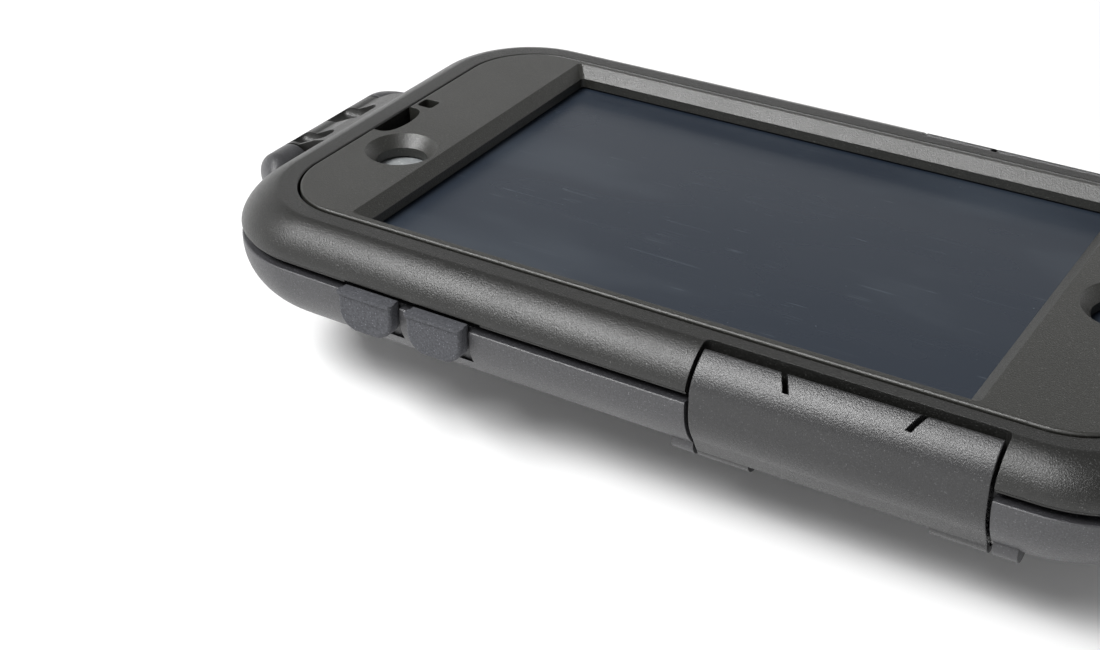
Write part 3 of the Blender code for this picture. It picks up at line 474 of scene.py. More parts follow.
def speckled_rubber(name, colour, specks, roughness=0.72, gloss=0.5):
    """Matt rubber with pale specks pressed into its surface."""
    mat, tree, shader = new_material(name)
    place = places(tree)
    fine = noise(tree, place, RUBBER_GRAIN, 3.0, 0.6)
    dark, light = shades(colour, 0.7, 1.35)
    tint = ramp(tree, fine, [(0.33, dark), (0.5, colour), (0.7, light)])
    cells = add(tree, "ShaderNodeTexVoronoi", {"feature": "F1"}, {"Vector": place, "Scale": SPECKS_PER_METRE})
    near = span(tree, cells.outputs["Distance"], 0.10, 0.34, 1.0, 0.0)
    parts = add(tree, "ShaderNodeSeparateColor", inputs={"Color": cells.outputs["Color"]})
    chosen = span(tree, parts.outputs["Red"], 0.72, 0.78, 0.0, 1.0)
    mask = math_node(tree, "MULTIPLY", math_node(tree, "MULTIPLY", near, chosen), specks)
    speck_colour = tuple(min(1.0, c * SPECK_GAIN) for c in colour)
    rough = cloud_span(tree, fine, roughness + RUBBER_ROUGH_VARY, roughness - RUBBER_ROUGH_VARY)
    height = math_node(tree, "ADD", fine, mask)
    fill(tree, shader, {"Base Color": mix_colours(tree, mask, tint, speck_colour),
                        "Roughness": rough, "Specular IOR Level": gloss,
                        "Normal": bump(tree, height, SHALLOW_DEPTH, 1.0, SOFT_EDGE)})
    return mat


def scratches(tree):
    """Fine hair lines in two directions."""
    lines = []
    for turn, grain, level, width in SCRATCHES:
        long = noise(tree, places(tree, SCRATCH_STRETCH, turn), grain, 1.0, 0.4, 0.1)
        away = math_node(tree, "ABSOLUTE", math_node(tree, "SUBTRACT", long, level))
        lines.append(span(tree, away, 0.0, width, 1.0, 0.0))
    return math_node(tree, "ADD", *lines)


def touch_film():
    """Glossy smoked film with wiped smudges, faint hair scratches and dust."""
    mat, tree, shader = new_material("smoked_touch_film")
    place = places(tree)
    smudge = noise(tree, places(tree, (0.35, 1.0, 1.0), 0.5), SMUDGE_GRAIN, 3.0, 0.5, 0.2)
    haze = span(tree, smudge, 0.5, 0.78, 0.0, 1.0)
    broken = span(tree, noise(tree, place, SCRATCH_BREAK, 1.0), 0.52, 0.66, 0.0, 1.0)
    hairs = math_node(tree, "MULTIPLY", scratches(tree), broken)
    dust = span(tree, noise(tree, place, DUST_GRAIN, 1.0), 0.76, 0.84, 0.0, 0.5)
    marks = math_node(tree, "ADD", math_node(tree, "MULTIPLY", hairs, SCRATCH_SHARE), dust)
    pale = math_node(tree, "ADD", math_node(tree, "MULTIPLY", haze, SMUDGE_SHARE), marks)
    fill(tree, shader, {"Base Color": mix_colours(tree, pale, FILM_COLOUR, FILM_MARK_COLOUR),
                        "Roughness": span(tree, smudge, 0.35, 0.75, 0.26, 0.34), "IOR": FILM_IOR,
                        "Normal": bump(tree, noise(tree, place, FILM_GRAIN), FILM_DEPTH, 0.5)})
    return mat


def clear_pane():
    """Pale, slightly frosted disc under a camera opening."""
    mat, tree, shader = new_material("camera_pane")
    cloud = noise(tree, places(tree), PANE_GRAIN, 3.0, 0.6)
    colour = ramp(tree, cloud, [(CLOUD_LOW, PANE_DARK), (CLOUD_HIGH, PANE_LIGHT)])
    fill(tree, shader, {"Base Color": colour, "Roughness": cloud_span(tree, cloud, 0.12, 0.3),
                        "Normal": bump(tree, cloud, PANE_DEPTH, 0.4)})
    return mat


def turned_steel():
    """Plated steel with fine lines and slight stains."""
    mat, tree, shader = new_material("plated_steel")
    lines = noise(tree, places(tree, STEEL_LINE_STRETCH), STEEL_LINES, 3.0, 0.7)
    stain = noise(tree, places(tree), STEEL_STAIN, 3.0, 0.6)
    colour = ramp(tree, stain, [(CLOUD_LOW, STEEL_DARK), (CLOUD_HIGH, STEEL_LIGHT)])
    fill(tree, shader, {"Base Color": colour, "Metallic": 1.0,
                        "Roughness": cloud_span(tree, lines, 0.22, 0.4),
                        "Normal": bump(tree, lines, STEEL_DEPTH, 0.6, STEEL_EDGE)})
    return mat


# Shapes

def arc(x, y, radius, start, end, steps):
    """Points along an arc, its angles in degrees."""
    angles = [math.radians(start + (end - start) * i / steps) for i in range(steps + 1)]
    return [(x + radius * math.cos(a), y + radius * math.sin(a)) for a in angles]


def circle(x, y, radius, steps=ROUND):
    angles = [2 * math.pi * i / steps for i in range(steps)]
    return [(x + radius * math.cos(a), y + radius * math.sin(a)) for a in angles]


def side_y(x, inset):
    """Half width of the case at x, taken in by inset, with the slight bow of its long sides."""
    reach = HALF_L - CORNER_R
    bow = SIDE_BOW * max(0.0, 1 - (x / reach) ** 2)
    fade = min(1.0, max(0.0, 1 - inset / SIDE_RIM))
    return HALF_W - inset + bow * fade


def outline(inset, z):
    """Closed loop of the plan outline at height z."""
    half_l = HALF_L - inset * END_RATIO
    radius = max(CORNER_R - inset * CORNER_RATIO, LEAST_R)
    centre_x = half_l - radius
    centre_y = HALF_W - inset - radius
    points = []
    for sign_x, sign_y, start in CORNERS:
        points += arc(sign_x * centre_x, sign_y * centre_y, radius, start, start + 90, CORNER_STEPS)
        if sign_x * sign_y > 0:
            along = [sign_x * centre_x * (1 - 2 * i / SIDE_STEPS) for i in range(1, SIDE_STEPS)]
            points += [(x, sign_y * side_y(x, inset)) for x in along]
    return [Vector((x, y, z)) for x, y in points]


def to_object(name, bm):
    mesh = bpy.data.meshes.new(name)
    bm.to_mesh(mesh)
    bm.free()
    obj = bpy.data.objects.new(name, mesh)
    bpy.context.scene.collection.objects.link(obj)
    return obj


def loft(name, loops, closed=False):
    """Body through loops of equal count, either closed on itself or capped at both ends."""
    bm = bmesh.new()
    rings = [[bm.verts.new(p) for p in loop] for loop in loops]
    pairs = list(zip(rings, rings[1:]))
    if closed:
        pairs.append((rings[-1], rings[0]))
    count = len(rings[0])
    for low, high in pairs:
        for i in range(count):
            j = (i + 1) % count
            bm.faces.new((low[i], low[j], high[j], high[i]))
    if not closed:
        bm.faces.new(rings[0])
        bm.faces.new(rings[-1])
    bmesh.ops.recalc_face_normals(bm, faces=bm.faces)
    return to_object(name, bm)


def swept(name, profile, closed=False):
    """Body whose (inset, height) profile is carried round the plan outline."""
    return loft(name, [outline(inset, z) for inset, z in profile], closed)


def side_body(name, profile, x0, x1, side):
    """Body whose (inset, height) section is carried along one long side from x0 to x1."""
    loops = []
    for i in range(LATCH_STEPS + 1):
        x = x0 + (x1 - x0) * i / LATCH_STEPS
        loops.append([Vector((x, side * side_y(x, inset), z)) for inset, z in profile])
    return loft(name, loops)


def round_rect(length, width, radius, z, steps=PANEL_STEPS, centre=0.0):
    """Loop of a rectangle with round corners at height z."""
    points = []
    for sign_x, sign_y, start in CORNERS:
        points += arc(centre + sign_x * (length / 2 - radius), sign_y * (width / 2 - radius),
                      radius, start, start + 90, steps)
    return [Vector((x, y, z)) for x, y in points]


def edge_round(size):
    """Insets and drops of a rounded edge, from the side face up to the top face."""
    angles = [math.radians(90 * i / EDGE_STEPS) for i in range(EDGE_STEPS + 1)]
    return [(size * (1 - math.cos(a)), size * (1 - math.sin(a))) for a in angles]


def box(name, low, high, bevel=0.0, upright=True):
    """Block between two corners, with its upright or all edges rounded by bevel."""
    bm = bmesh.new()
    bmesh.ops.create_cube(bm, size=1.0)
    size = [b - a for a, b in zip(low, high)]
    middle = [(a + b) / 2 for a, b in zip(low, high)]
    bmesh.ops.scale(bm, vec=size, verts=bm.verts)
    bmesh.ops.translate(bm, vec=middle, verts=bm.verts)
    if bevel:
        edges = bm.edges[:]
        if upright:
            edges = [e for e in edges if abs(e.verts[0].co.z - e.verts[1].co.z) > size[2] / 2]
        bmesh.ops.bevel(bm, geom=edges, offset=bevel, segments=BOX_STEPS, profile=0.5, affect="EDGES")
    return to_object(name, bm)


def rod(name, radius, start, end, segments=ROUND):
    """Cylinder between two points."""
    start = Vector(start)
    end = Vector(end)
    bm = bmesh.new()
    bmesh.ops.create_cone(bm, cap_ends=True, segments=segments, radius1=radius, radius2=radius,
                          depth=(end - start).length)
    turn = (end - start).to_track_quat("Z", "Y").to_matrix().to_4x4()
    bmesh.ops.transform(bm, matrix=Matrix.Translation((start + end) / 2) @ turn, verts=bm.verts)
    return to_object(name, bm)


def turned(name, profile, x=0.0, y=0.0, steps=ROUND):
    """Body of revolution from a (radius, height) profile that runs down its outer side."""
    bm = bmesh.new()
    rings = []
    for r, z in profile:
        if r == 0.0:
            rings.append([bm.verts.new((x, y, z))])
            continue
        rings.append([bm.verts.new((a, b, z)) for a, b in circle(x, y, r, steps)])
    for high, low in zip(rings, rings[1:]):
        for i in range(steps):
            j = (i + 1) % steps
            corners = [high[i % len(high)], low[i % len(low)], low[j % len(low)], high[j % len(high)]]
            bm.faces.new(list(dict.fromkeys(corners)))
    bmesh.ops.recalc_face_normals(bm, faces=bm.faces)
    return to_object(name, bm)


def disc(name, radius, top, thickness, x, y):
    """Flat round pane with softened rims."""
    low = top - thickness
    flat_r = radius - PANE_EDGE
    profile = [(0.0, top), (flat_r, top), (radius, top - PANE_EDGE), (radius, low + PANE_EDGE),
               (flat_r, low), (0.0, low)]
    return turned(name, profile, x, y)


def hinge_rod(name, radius, half_length):
    """Cylinder round the lid hinge's axis."""
    return rod(name, radius, (HINGE_CX, HINGE_Y - half_length, HINGE_Z),
               (HINGE_CX, HINGE_Y + half_length, HINGE_Z))


def pivot_rod(name, radius, x0, x1, side):
    """Cylinder round a latch's axis."""
    y = side * PIVOT_Y
    return rod(name, radius, (x0, y, PIVOT_Z), (x1, y, PIVOT_Z))


def solved(obj):
    """Replace an object's mesh by what its modifiers make of it, and drop them."""
    graph = bpy.context.evaluated_depsgraph_get()
    mesh = bpy.data.meshes.new_from_object(obj.evaluated_get(graph))
    obj.modifiers.clear()
    old = obj.data
    obj.data = mesh
    bpy.data.meshes.remove(old)
    return obj


def combine(obj, steps):
    """Join or cut other bodies one after another, then remove them."""
    for operation, other in steps:
        mod = obj.modifiers.new(other.name, "BOOLEAN")
        mod.operation = operation
        mod.solver = "EXACT"
        mod.object = other
    solved(obj)
    for _, other in steps:
        bpy.data.objects.remove(other, do_unlink=True)
    return obj


def cut(obj, *others):
    return combine(obj, [("DIFFERENCE", other) for other in others])


def join(obj, *others):
    return combine(obj, [("UNION", other) for other in others])


def bevelled(obj, width):
    """Round the sharp edges of a clean body."""
    mod = obj.modifiers.new("Edges", "BEVEL")
    mod.width = width
    mod.segments = BEVEL_STEPS
    mod.limit_method = "ANGLE"
    mod.angle_limit = math.radians(BEVEL_ANGLE)
    return solved(obj)


def dress(obj, body, slot, mat, *nodes):
    """Lift a finished body to its place, smooth it, and let it ride for the nodes that it replaces."""
    mesh = obj.data
    mesh.transform(Matrix.Translation((0.0, 0.0, TOP_Z)))
    mesh.materials.clear()
    mesh.materials.append(mat)
    mesh.shade_smooth()
    mesh.set_sharp_from_angle(angle=math.radians(SHARP_ANGLE))
    weights = obj.modifiers.new("Normals", "WEIGHTED_NORMAL")
    weights.keep_sharp = True
    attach(obj, body)
    if nodes:
        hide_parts(*nodes)
    return obj


# Profiles

def crown(shrink, steps, end_inset):
    """Quarter of the rounded rim, an ellipse with flattened shoulders, from the side up to the crest."""
    centre_inset = CROWN_W + CROWN_SET_IN
    centre_z = CREST_Z - CROWN_H
    width = CROWN_W - shrink
    height = CROWN_H - shrink
    share = min(1.0, max(0.0, (centre_inset - end_inset) / width))
    end = math.acos(share ** (CROWN_POWER / 2))
    points = []
    for i in range(steps + 1):
        angle = end * i / steps
        across = max(0.0, math.cos(angle)) ** (2 / CROWN_POWER)
        rise = math.sin(angle) ** (2 / CROWN_POWER)
        points.append((centre_inset - width * across, centre_z + height * rise))
    return points


def side_turn(shrink, steps):
    """Ellipse that turns the side under to the back, from the side down."""
    width = SIDE_TURN_W - shrink
    height = SIDE_TURN_H - shrink
    points = []
    for i in range(steps + 1):
        angle = math.radians(SIDE_TURN_ANGLE) * i / steps
        points.append((SIDE_TURN_W - width * math.cos(angle), SIDE_TURN_Z - height * math.sin(angle)))
    return points


def cover_profile():
    lip = [(LIP_W + LIP_EDGE, SEAM_TOP_Z), (LIP_W, SEAM_TOP_Z + LIP_EDGE), (LIP_W, SEAM_TOP_Z + LIP_H)]
    top = [(SIDE_RIM - a, CREST_Z - b) for a, b in reversed(edge_round(CREST_EDGE))]
    ledge = [(SIDE_RIM, UNDER_PLATE_Z), (LEDGE_INSET, UNDER_PLATE_Z), (LEDGE_INSET, SEAM_TOP_Z)]
    return lip + crown(0.0, CROWN_STEPS, CROWN_W + CROWN_SET_IN) + top + ledge


def back_curve():
    """Points from the side turn's end to the flat back, eased between the section's own points."""
    ends = [(inset, BACK_Z + rise) for inset, rise in BACK_PROFILE]
    start = side_turn(0.0, SIDE_TURN_STEPS)[-1]
    control = [start] + ends
    points = []
    for i in range(len(control) - 1):
        before = control[max(i - 1, 0)]
        a, b = control[i], control[i + 1]
        after = control[min(i + 2, len(control) - 1)]
        for k in range(1, BACK_STEPS + 1):
            t = k / BACK_STEPS
            points.append(tuple(spline(before[n], a[n], b[n], after[n], t) for n in (0, 1)))
    return points


def spline(p0, p1, p2, p3, t):
    """Catmull-Rom value between p1 and p2."""
    return 0.5 * (2 * p1 + (p2 - p0) * t + (2 * p0 - 5 * p1 + 4 * p2 - p3) * t ** 2
                  + (3 * p1 - p0 - 3 * p2 + p3) * t ** 3)


def shell_profile():
    floor = [(CAVITY_INSET + CAVITY_BEVEL, FLOOR_Z), (CAVITY_INSET, FLOOR_Z + CAVITY_BEVEL)]
    channel_in = SEAL_INSET + SEAL_W + CHANNEL_CLEAR
    channel_out = SEAL_INSET - CHANNEL_CLEAR
    channel_z = RIM_Z - CHANNEL_D
    rim = [(CAVITY_INSET, RIM_Z), (channel_in, RIM_Z), (channel_in, channel_z),
           (channel_out, channel_z), (channel_out, RIM_Z)]
    edge = [(a, RIM_Z - b) for a, b in reversed(edge_round(RIM_CHAMFER))]
    return floor + rim + edge + side_turn(0.0, SIDE_TURN_STEPS) + back_curve()


def above_bend(points):
    return [p for p in points if p[1] > BACK_Z + LATCH_BEND_RISE]


def latch_outer():
    """Outside of a latch from its tip down to its lower edge."""
    upper = list(reversed(crown(0.0, CROWN_STEPS, LATCH_TIP_INSET - LATCH_TIP_ROUND)))
    lower = above_bend(side_turn(0.0, SIDE_TURN_STEPS))
    tip = [(LATCH_TIP_INSET, upper[0][1] - LATCH_TIP_DROP)]
    return tip + upper + lower + [(LATCH_LOW_INSET, BACK_Z + LATCH_LOW_RISE)]


def latch_inner(extra):
    """Inside of a latch from its lower edge up to its tip, moved in by extra."""
    shrink = LATCH_T + extra
    upper = crown(shrink, CROWN_STEPS, LATCH_TIP_INSET)
    lower = list(reversed(above_bend(side_turn(shrink, SIDE_TURN_STEPS))))
    return [(LATCH_LOW_INSET + LATCH_LOW_T + extra, BACK_Z + LATCH_HEEL_RISE)] + lower + upper


# Lid pieces

def make_cover(mat):
    cover = join(swept("cover_frame", cover_profile(), closed=True), hinge_arm())
    cutters = [cover_button_space(), hinge_rod("arm_bore", HINGE_PIN_R + PIN_CLEAR, ARM_W),
               scoop(0), scoop(1)]
    for side in (1, -1):
        cutters += [lug_body(f"lug_space_{side}", side, HINGE_GAP), cover_latch_space(side)]
    cut(cover, *cutters)
    return dress(cover, "front_lid", "case_plastic", mat, "front_cover")


def hinge_arm():
    """Arm of the lid that runs out to the hinge's barrel."""
    seam_z = SEAM_TOP_Z + ARM_SEAM_STEP
    end = 360.0 + math.degrees(math.asin((seam_z - HINGE_Z) / HINGE_R))
    points = arc(HINGE_CX, HINGE_Z, HINGE_R, ARM_START_ANGLE, end, ARM_STEPS)
    top_x = CASE_END + ARM_TOP_IN
    points += [(top_x + ARM_ROOT, seam_z), (top_x + ARM_ROOT, ARM_TOP_Z), (top_x, ARM_TOP_Z),
               (CASE_END + ARM_SLOPE_IN, ARM_SLOPE_Z)]
    ends = (HINGE_Y - ARM_W / 2, HINGE_Y + ARM_W / 2)
    return loft("hinge_arm", [[Vector((x, y, z)) for x, z in points] for y in ends])


def scoop(index):
    """Round-cornered pocket beside the arm's wide rib."""
    offset, width = SCOOPS[index]
    y = HINGE_Y + offset
    low = (CASE_END - SCOOP_OUT, y - width / 2, SCOOP_LOW_Z)
    high = (CASE_END + SCOOP_IN, y + width / 2, OUTSIDE)
    return box(f"scoop_{index}", low, high, SCOOP_ROUND, upright=False)


def cover_latch_space(side):
    y = sorted((side * LATCH_WALL_Y, side * (HALF_W + OUTSIDE)))
    return box(f"cover_latch_space_{side}", (LATCH_X0 - LATCH_END_GAP, y[0], BACK_Z),
               (LATCH_X1 + LATCH_END_GAP, y[1], OUTSIDE), RECESS_R)


def cover_button_space():
    """Shallow notch in the cover's lower edge above both buttons, running past the second."""
    x0 = button_x(0) - BUTTON_GAP
    x1 = button_x(1) + BUTTON_L + BUTTON_NOTCH_PAST
    inner = side_y(x0, BUTTON_DEEP + BUTTON_NOTCH_BACK)
    return box("cover_button_space", (x0, -HALF_W - OUTSIDE, SEAM_TOP_Z - OVERCUT),
               (x1, -inner, SEAM_TOP_Z + BUTTON_NOTCH_H))


def make_plate(mat):
    """Textured plate with a rounded top edge, the window and the smaller openings."""
    loops = [round_rect(PLATE_L, PLATE_W, PLATE_R, -PLATE_T)]
    for inset, drop in edge_round(PLATE_EDGE):
        loops.append(round_rect(PLATE_L - 2 * inset, PLATE_W - 2 * inset, PLATE_R - inset, -drop))
    plate = loft("plate_panel", loops)
    camera = countersink("camera_space", TOP_END + CAMERA_X, CAMERA_Y, CAMERA_R)
    home = countersink("home_space", -TOP_END - HOME_FROM_END, 0.0, HOME_R)
    cut(plate, window_space(), camera, home, ear_slot(), ear_hook())
    return dress(plate, "front_lid", "plate_plastic", mat, "front_plate")


def window_space():
    """Window opening with its sloped edge."""
    middle = TOP_END + WINDOW_START + WINDOW_L / 2
    wide = WINDOW_CHAMFER * (1 + OVERCUT / WINDOW_CHAMFER_D)
    levels = ((0.0, -PLATE_T - OVERCUT), (0.0, -WINDOW_CHAMFER_D), (wide, OVERCUT))
    return loft("window_space", [round_rect(WINDOW_L + 2 * grow, WINDOW_W + 2 * grow, WINDOW_R, z,
                                            WINDOW_STEPS, middle) for grow, z in levels])


def countersink(name, x, y, radius):
    """Round hole with a cone at its top."""
    wide = radius + SINK_W * (1 + OVERCUT / SINK_D)
    low = -PLATE_T - OVERCUT
    profile = [(0.0, OVERCUT), (wide, OVERCUT), (radius, -SINK_D), (radius, low), (0.0, low)]
    return turned(name, profile, x, y)


def ear_slot():
    """Notch in the plate's end edge with a curved inner side."""
    half = EAR_SLOT_W / 2
    plan = [(TOP_END - OVERCUT, EAR_SLOT_Y - half)]
    for i in range(SLOT_STEPS + 1):
        angle = math.pi * i / SLOT_STEPS
        depth = EAR_SLOT_D * math.sqrt(max(0.0, math.sin(angle)))
        plan.append((TOP_END + depth, EAR_SLOT_Y - half * math.cos(angle)))
    plan.append((TOP_END - OVERCUT, EAR_SLOT_Y + half))
    levels = (-PLATE_T - OVERCUT, OVERCUT)
    return loft("ear_space", [[Vector((x, y, z)) for x, y in plan] for z in levels])


def ear_hook():
    """Small notch beside the ear slot, past a thin bridge."""
    y0 = EAR_SLOT_Y + EAR_SLOT_W / 2 + EAR_BRIDGE
    low = (TOP_END + EAR_HOOK_START, y0, -PLATE_T - OVERCUT)
    high = (TOP_END + EAR_HOOK_D, y0 + EAR_HOOK_W, OVERCUT)
    return box("ear_hook_space", low, high, EAR_HOOK_R)


# Pieces of the back

def lug_body(name, side, grow=0.0):
    """Hinge lug of the back: a barrel that tapers into the end wall."""
    near = ARM_W / 2 + ARM_GAP
    full = LUG_FULL_W if side < 0 else LUG_FAR_FULL_W
    stations = [(near - grow, HINGE_R), (near + full, HINGE_R)]
    taper = LUG_W - full
    for i in range(1, LUG_STEPS + 1):
        share = i / LUG_STEPS
        radius = LUG_TIP_R + (HINGE_R - LUG_TIP_R) * math.cos(share * math.pi / 2)
        stations.append((near + full + taper * share, radius))
    if grow:
        stations.append((near + LUG_W + grow, LUG_TIP_R))
    loops = []
    for y, radius in stations:
        ring = circle(HINGE_CX + HINGE_R - radius, HINGE_Z, radius + grow)
        loops.append([Vector((x, HINGE_Y + side * y, z)) for x, z in ring])
    return loft(name, loops)


def make_shell(mat):
    shell = swept("shell_tub", shell_profile())
    steps = [("DIFFERENCE", hinge_rod("arm_space", HINGE_R + HINGE_GAP, ARM_W / 2 + ARM_GAP))]
    for side in (1, -1):
        steps.append(("UNION", lug_body(f"lug_{side}", side)))
        steps += latch_seat_steps(side)
    lug_bore = hinge_rod("lug_bore", HINGE_PIN_R + PIN_CLEAR, HINGE_PIN_HALF + SEAT_GAP)
    steps.append(("DIFFERENCE", lug_bore))
    for i in range(2):
        steps.append(("DIFFERENCE", button_pocket(i)))
        steps.append(("DIFFERENCE", stem_space(f"stem_space_{i}", i, 0.0)))
    steps += [("DIFFERENCE", other) for other in rear_window_spaces()]
    for i, (x, y) in enumerate(screw_places()):
        hole = rod(f"screw_hole_{i}", SCREW_R + PIN_CLEAR, (x, y, BACK_Z - OVERCUT),
                   (x, y, SCREW_TOP_Z + SEAT_GAP), SCREW_STEPS)
        steps.append(("DIFFERENCE", hole))
    combine(shell, steps)
    return dress(shell, "back_case", "case_plastic", mat, "back_shell")


def latch_seat_steps(side):
    """Recess for a closed latch, with a pierced pivot lug at each of its ends."""
    x0 = LATCH_X0 - LATCH_END_GAP
    x1 = LATCH_X1 + LATCH_END_GAP
    knuckle_space = pivot_rod(f"knuckle_space_{side}", KNUCKLE_R + LATCH_WALL_GAP, x0 + FACE_STEP,
                              x1 - FACE_STEP, side)
    lug_a = pivot_rod(f"pivot_lug_a_{side}", KNUCKLE_R, x0 - PIVOT_LUG_L, x0 - FACE_STEP, side)
    lug_b = pivot_rod(f"pivot_lug_b_{side}", KNUCKLE_R, x1 + FACE_STEP, x1 + PIVOT_LUG_L, side)
    bore = pivot_rod(f"latch_pin_bore_{side}", LATCH_PIN_R + PIN_CLEAR, x0 - PIN_HOLD, x1 + PIN_HOLD, side)
    return [("DIFFERENCE", base_latch_recess(side)), ("DIFFERENCE", knuckle_space),
            ("UNION", lug_a), ("UNION", lug_b), ("DIFFERENCE", bore)]


def base_latch_recess(side):
    """Space in the shell's side that a closed latch lies in."""
    inner = [p for p in latch_inner(LATCH_WALL_GAP) if p[1] < RIM_Z]
    low_z = BACK_Z + LATCH_EDGE_RISE - OUTSIDE
    high_z = RIM_Z + OUTSIDE
    section = [(inner[0][0], low_z)] + inner
    section += [(inner[-1][0], high_z), (-OUTSIDE, high_z), (-OUTSIDE, low_z)]
    return side_body(f"base_latch_space_{side}", section, LATCH_X0 - LATCH_END_GAP,
                     LATCH_X1 + LATCH_END_GAP, side)


def rear_window_spaces():
    """Hole through the back for the phone's camera, and the seat of its pane."""
    x = TOP_END + REAR_X
    above = FLOOR_Z + OVERCUT
    seat_z = FLOOR_Z - REAR_PANE_T - SEAT_GAP
    return (rod("rear_hole", REAR_R, (x, REAR_Y, BACK_Z - OVERCUT), (x, REAR_Y, above)),
            rod("rear_seat", REAR_PANE_R + SEAT_GAP, (x, REAR_Y, seat_z), (x, REAR_Y, above)))


def make_liner(mat):
    """Soft tray with low walls that the phone lies in."""
    outer = CAVITY_INSET + SEAT_GAP
    inner = outer + LINER_T
    low = FLOOR_Z + SEAT_GAP
    floor = low + LINER_FLOOR_T
    top = low + LINER_H
    edge = LINER_T / 4
    profile = [(inner, floor), (inner, top - edge), (inner - edge, top), (outer + edge, top),
               (outer, top - edge), (outer, low + CAVITY_BEVEL), (outer + CAVITY_BEVEL, low)]
    liner = swept("liner_tray", profile)
    x = TOP_END + REAR_X
    holes = [stem_space(f"liner_stem_space_{i}", i, LINER_HOLE_CLEAR) for i in range(2)]
    holes.append(rod("liner_rear_hole", REAR_R + LINER_HOLE_CLEAR, (x, REAR_Y, low - OVERCUT),
                     (x, REAR_Y, floor + OVERCUT)))
    cut(liner, *holes)
    return dress(liner, "back_case", "liner_rubber", mat, "phone_liner")


def button_x(index):
    return TOP_END + BUTTON_START + index * BUTTON_PITCH


def button_inner_y(index):
    """Inner face of a button's pad."""
    return side_y(button_x(index) + BUTTON_L / 2, BUTTON_SET_IN)


def button_pocket(index):
    x = button_x(index)
    deep = button_inner_y(index) - BUTTON_TRAVEL - BUTTON_GAP
    low = (x - BUTTON_GAP, -HALF_W - OUTSIDE, BUTTON_TOP_Z - BUTTON_H - BUTTON_GAP)
    high = (x + BUTTON_L + BUTTON_GAP, -deep, RIM_Z + OVERCUT)
    return box(f"button_pocket_{index}", low, high)


def stem_space(name, index, grow):
    middle = button_x(index) + BUTTON_L / 2
    half_l = STEM_L / 2 + BUTTON_GAP + grow
    half_h = STEM_H / 2 + BUTTON_GAP + grow
    return box(name, (middle - half_l, -HALF_W, STEM_Z - half_h),
               (middle + half_l, -PHONE_W / 2 + OVERCUT, STEM_Z + half_h))


def button_loop(x, y, shrink):
    """Outline of a button with a straight top and round lower corners."""
    low_z = BUTTON_TOP_Z - BUTTON_H + BUTTON_R
    radius = BUTTON_R - shrink
    loop = [Vector((x + shrink, y, BUTTON_TOP_Z - shrink)),
            Vector((x + BUTTON_L - shrink, y, BUTTON_TOP_Z - shrink))]
    for centre_x, start in ((x + BUTTON_L - BUTTON_R, 0), (x + BUTTON_R, 90)):
        corner = arc(centre_x, 0.0, radius, start, start + 90, PAD_STEPS)
        loop += [Vector((a, y, low_z - b)) for a, b in corner]
    return loop


def make_button(name, index, body, mat, node):
    """Rubber pad with a rounded face and a rimmed lip at its top, and the stem to the phone's key."""
    x = button_x(index)
    inner = button_inner_y(index)
    outer = inner + BUTTON_SET_IN + BUTTON_PROUD
    loops = [button_loop(x, -inner, 0.0)]
    for shrink, drop in edge_round(BUTTON_EDGE):
        loops.append(button_loop(x, -outer + drop, shrink))
    button = loft(name, loops)
    middle = x + BUTTON_L / 2
    stem = box(f"{name}_stem", (middle - STEM_L / 2, -inner - STEM_ROOT, STEM_Z - STEM_H / 2),
               (middle + STEM_L / 2, -PHONE_W / 2 - STEM_TO_PHONE, STEM_Z + STEM_H / 2))
    lip = box(f"{name}_lip", (x - BUTTON_LIP, -outer - BUTTON_LIP, BUTTON_TOP_Z - BUTTON_LIP_T),
              (x + BUTTON_L + BUTTON_LIP, -inner - BUTTON_SET_IN - BUTTON_LIP_OUT,
               BUTTON_TOP_Z + FACE_STEP), BUTTON_LIP_R / 2)
    join(button, stem, lip)
    return dress(button, body, "button_rubber", mat, node)


def make_latch(name, side, body, mat, node):
    """Curved side latch with two knuckles and two slits that let its middle flex."""
    section = latch_outer() + latch_inner(0.0)
    latch = bevelled(side_body(name, section, LATCH_X0, LATCH_X1, side), LATCH_ROUND)
    ends = ((LATCH_X0, LATCH_X0 + KNUCKLE_L), (LATCH_X1 - KNUCKLE_L, LATCH_X1))
    join(latch, *[pivot_rod(f"{name}_knuckle_{i}", KNUCKLE_R, start, end, side)
                  for i, (start, end) in enumerate(ends)])
    cutters = [pivot_rod(f"{name}_bore", LATCH_PIN_R + PIN_CLEAR, LATCH_X0 - OVERCUT,
                         LATCH_X1 + OVERCUT, side)]
    for i, (x, inward, from_end) in enumerate(((LATCH_X0, 1, SLIT_X), (LATCH_X1, -1, SLIT_FAR_X))):
        cutters.append(latch_slit(f"{name}_slit_{i}", x, inward, side, from_end))
        cutters.append(latch_corner(f"{name}_corner_{i}", x, inward, side))
    cut(latch, *cutters)
    return dress(latch, body, "latch_plastic", mat, node)


def upright(name, plan, x, inward, side, low, high):
    """Cutter with a plan outline given from a latch's end and its tip's edge."""
    tip = side_y(x, LATCH_TIP_INSET)
    return loft(name, [[Vector((x + inward * a, side * (tip + b), z)) for a, b in plan] for z in (low, high)])


def latch_slit(name, x, inward, side, from_end):
    """Cutter for the slanted slit that runs out from a latch's tip."""
    plan = []
    for half in (-SLIT_W / 2, SLIT_W / 2):
        ends = [(from_end + half + SLIT_LEAN * reach / SLIT_D, reach) for reach in (-OVERCUT, SLIT_D)]
        plan += ends if half < 0 else reversed(ends)
    return upright(name, plan, x, inward, side, SLIT_LOW_Z, OVERCUT)


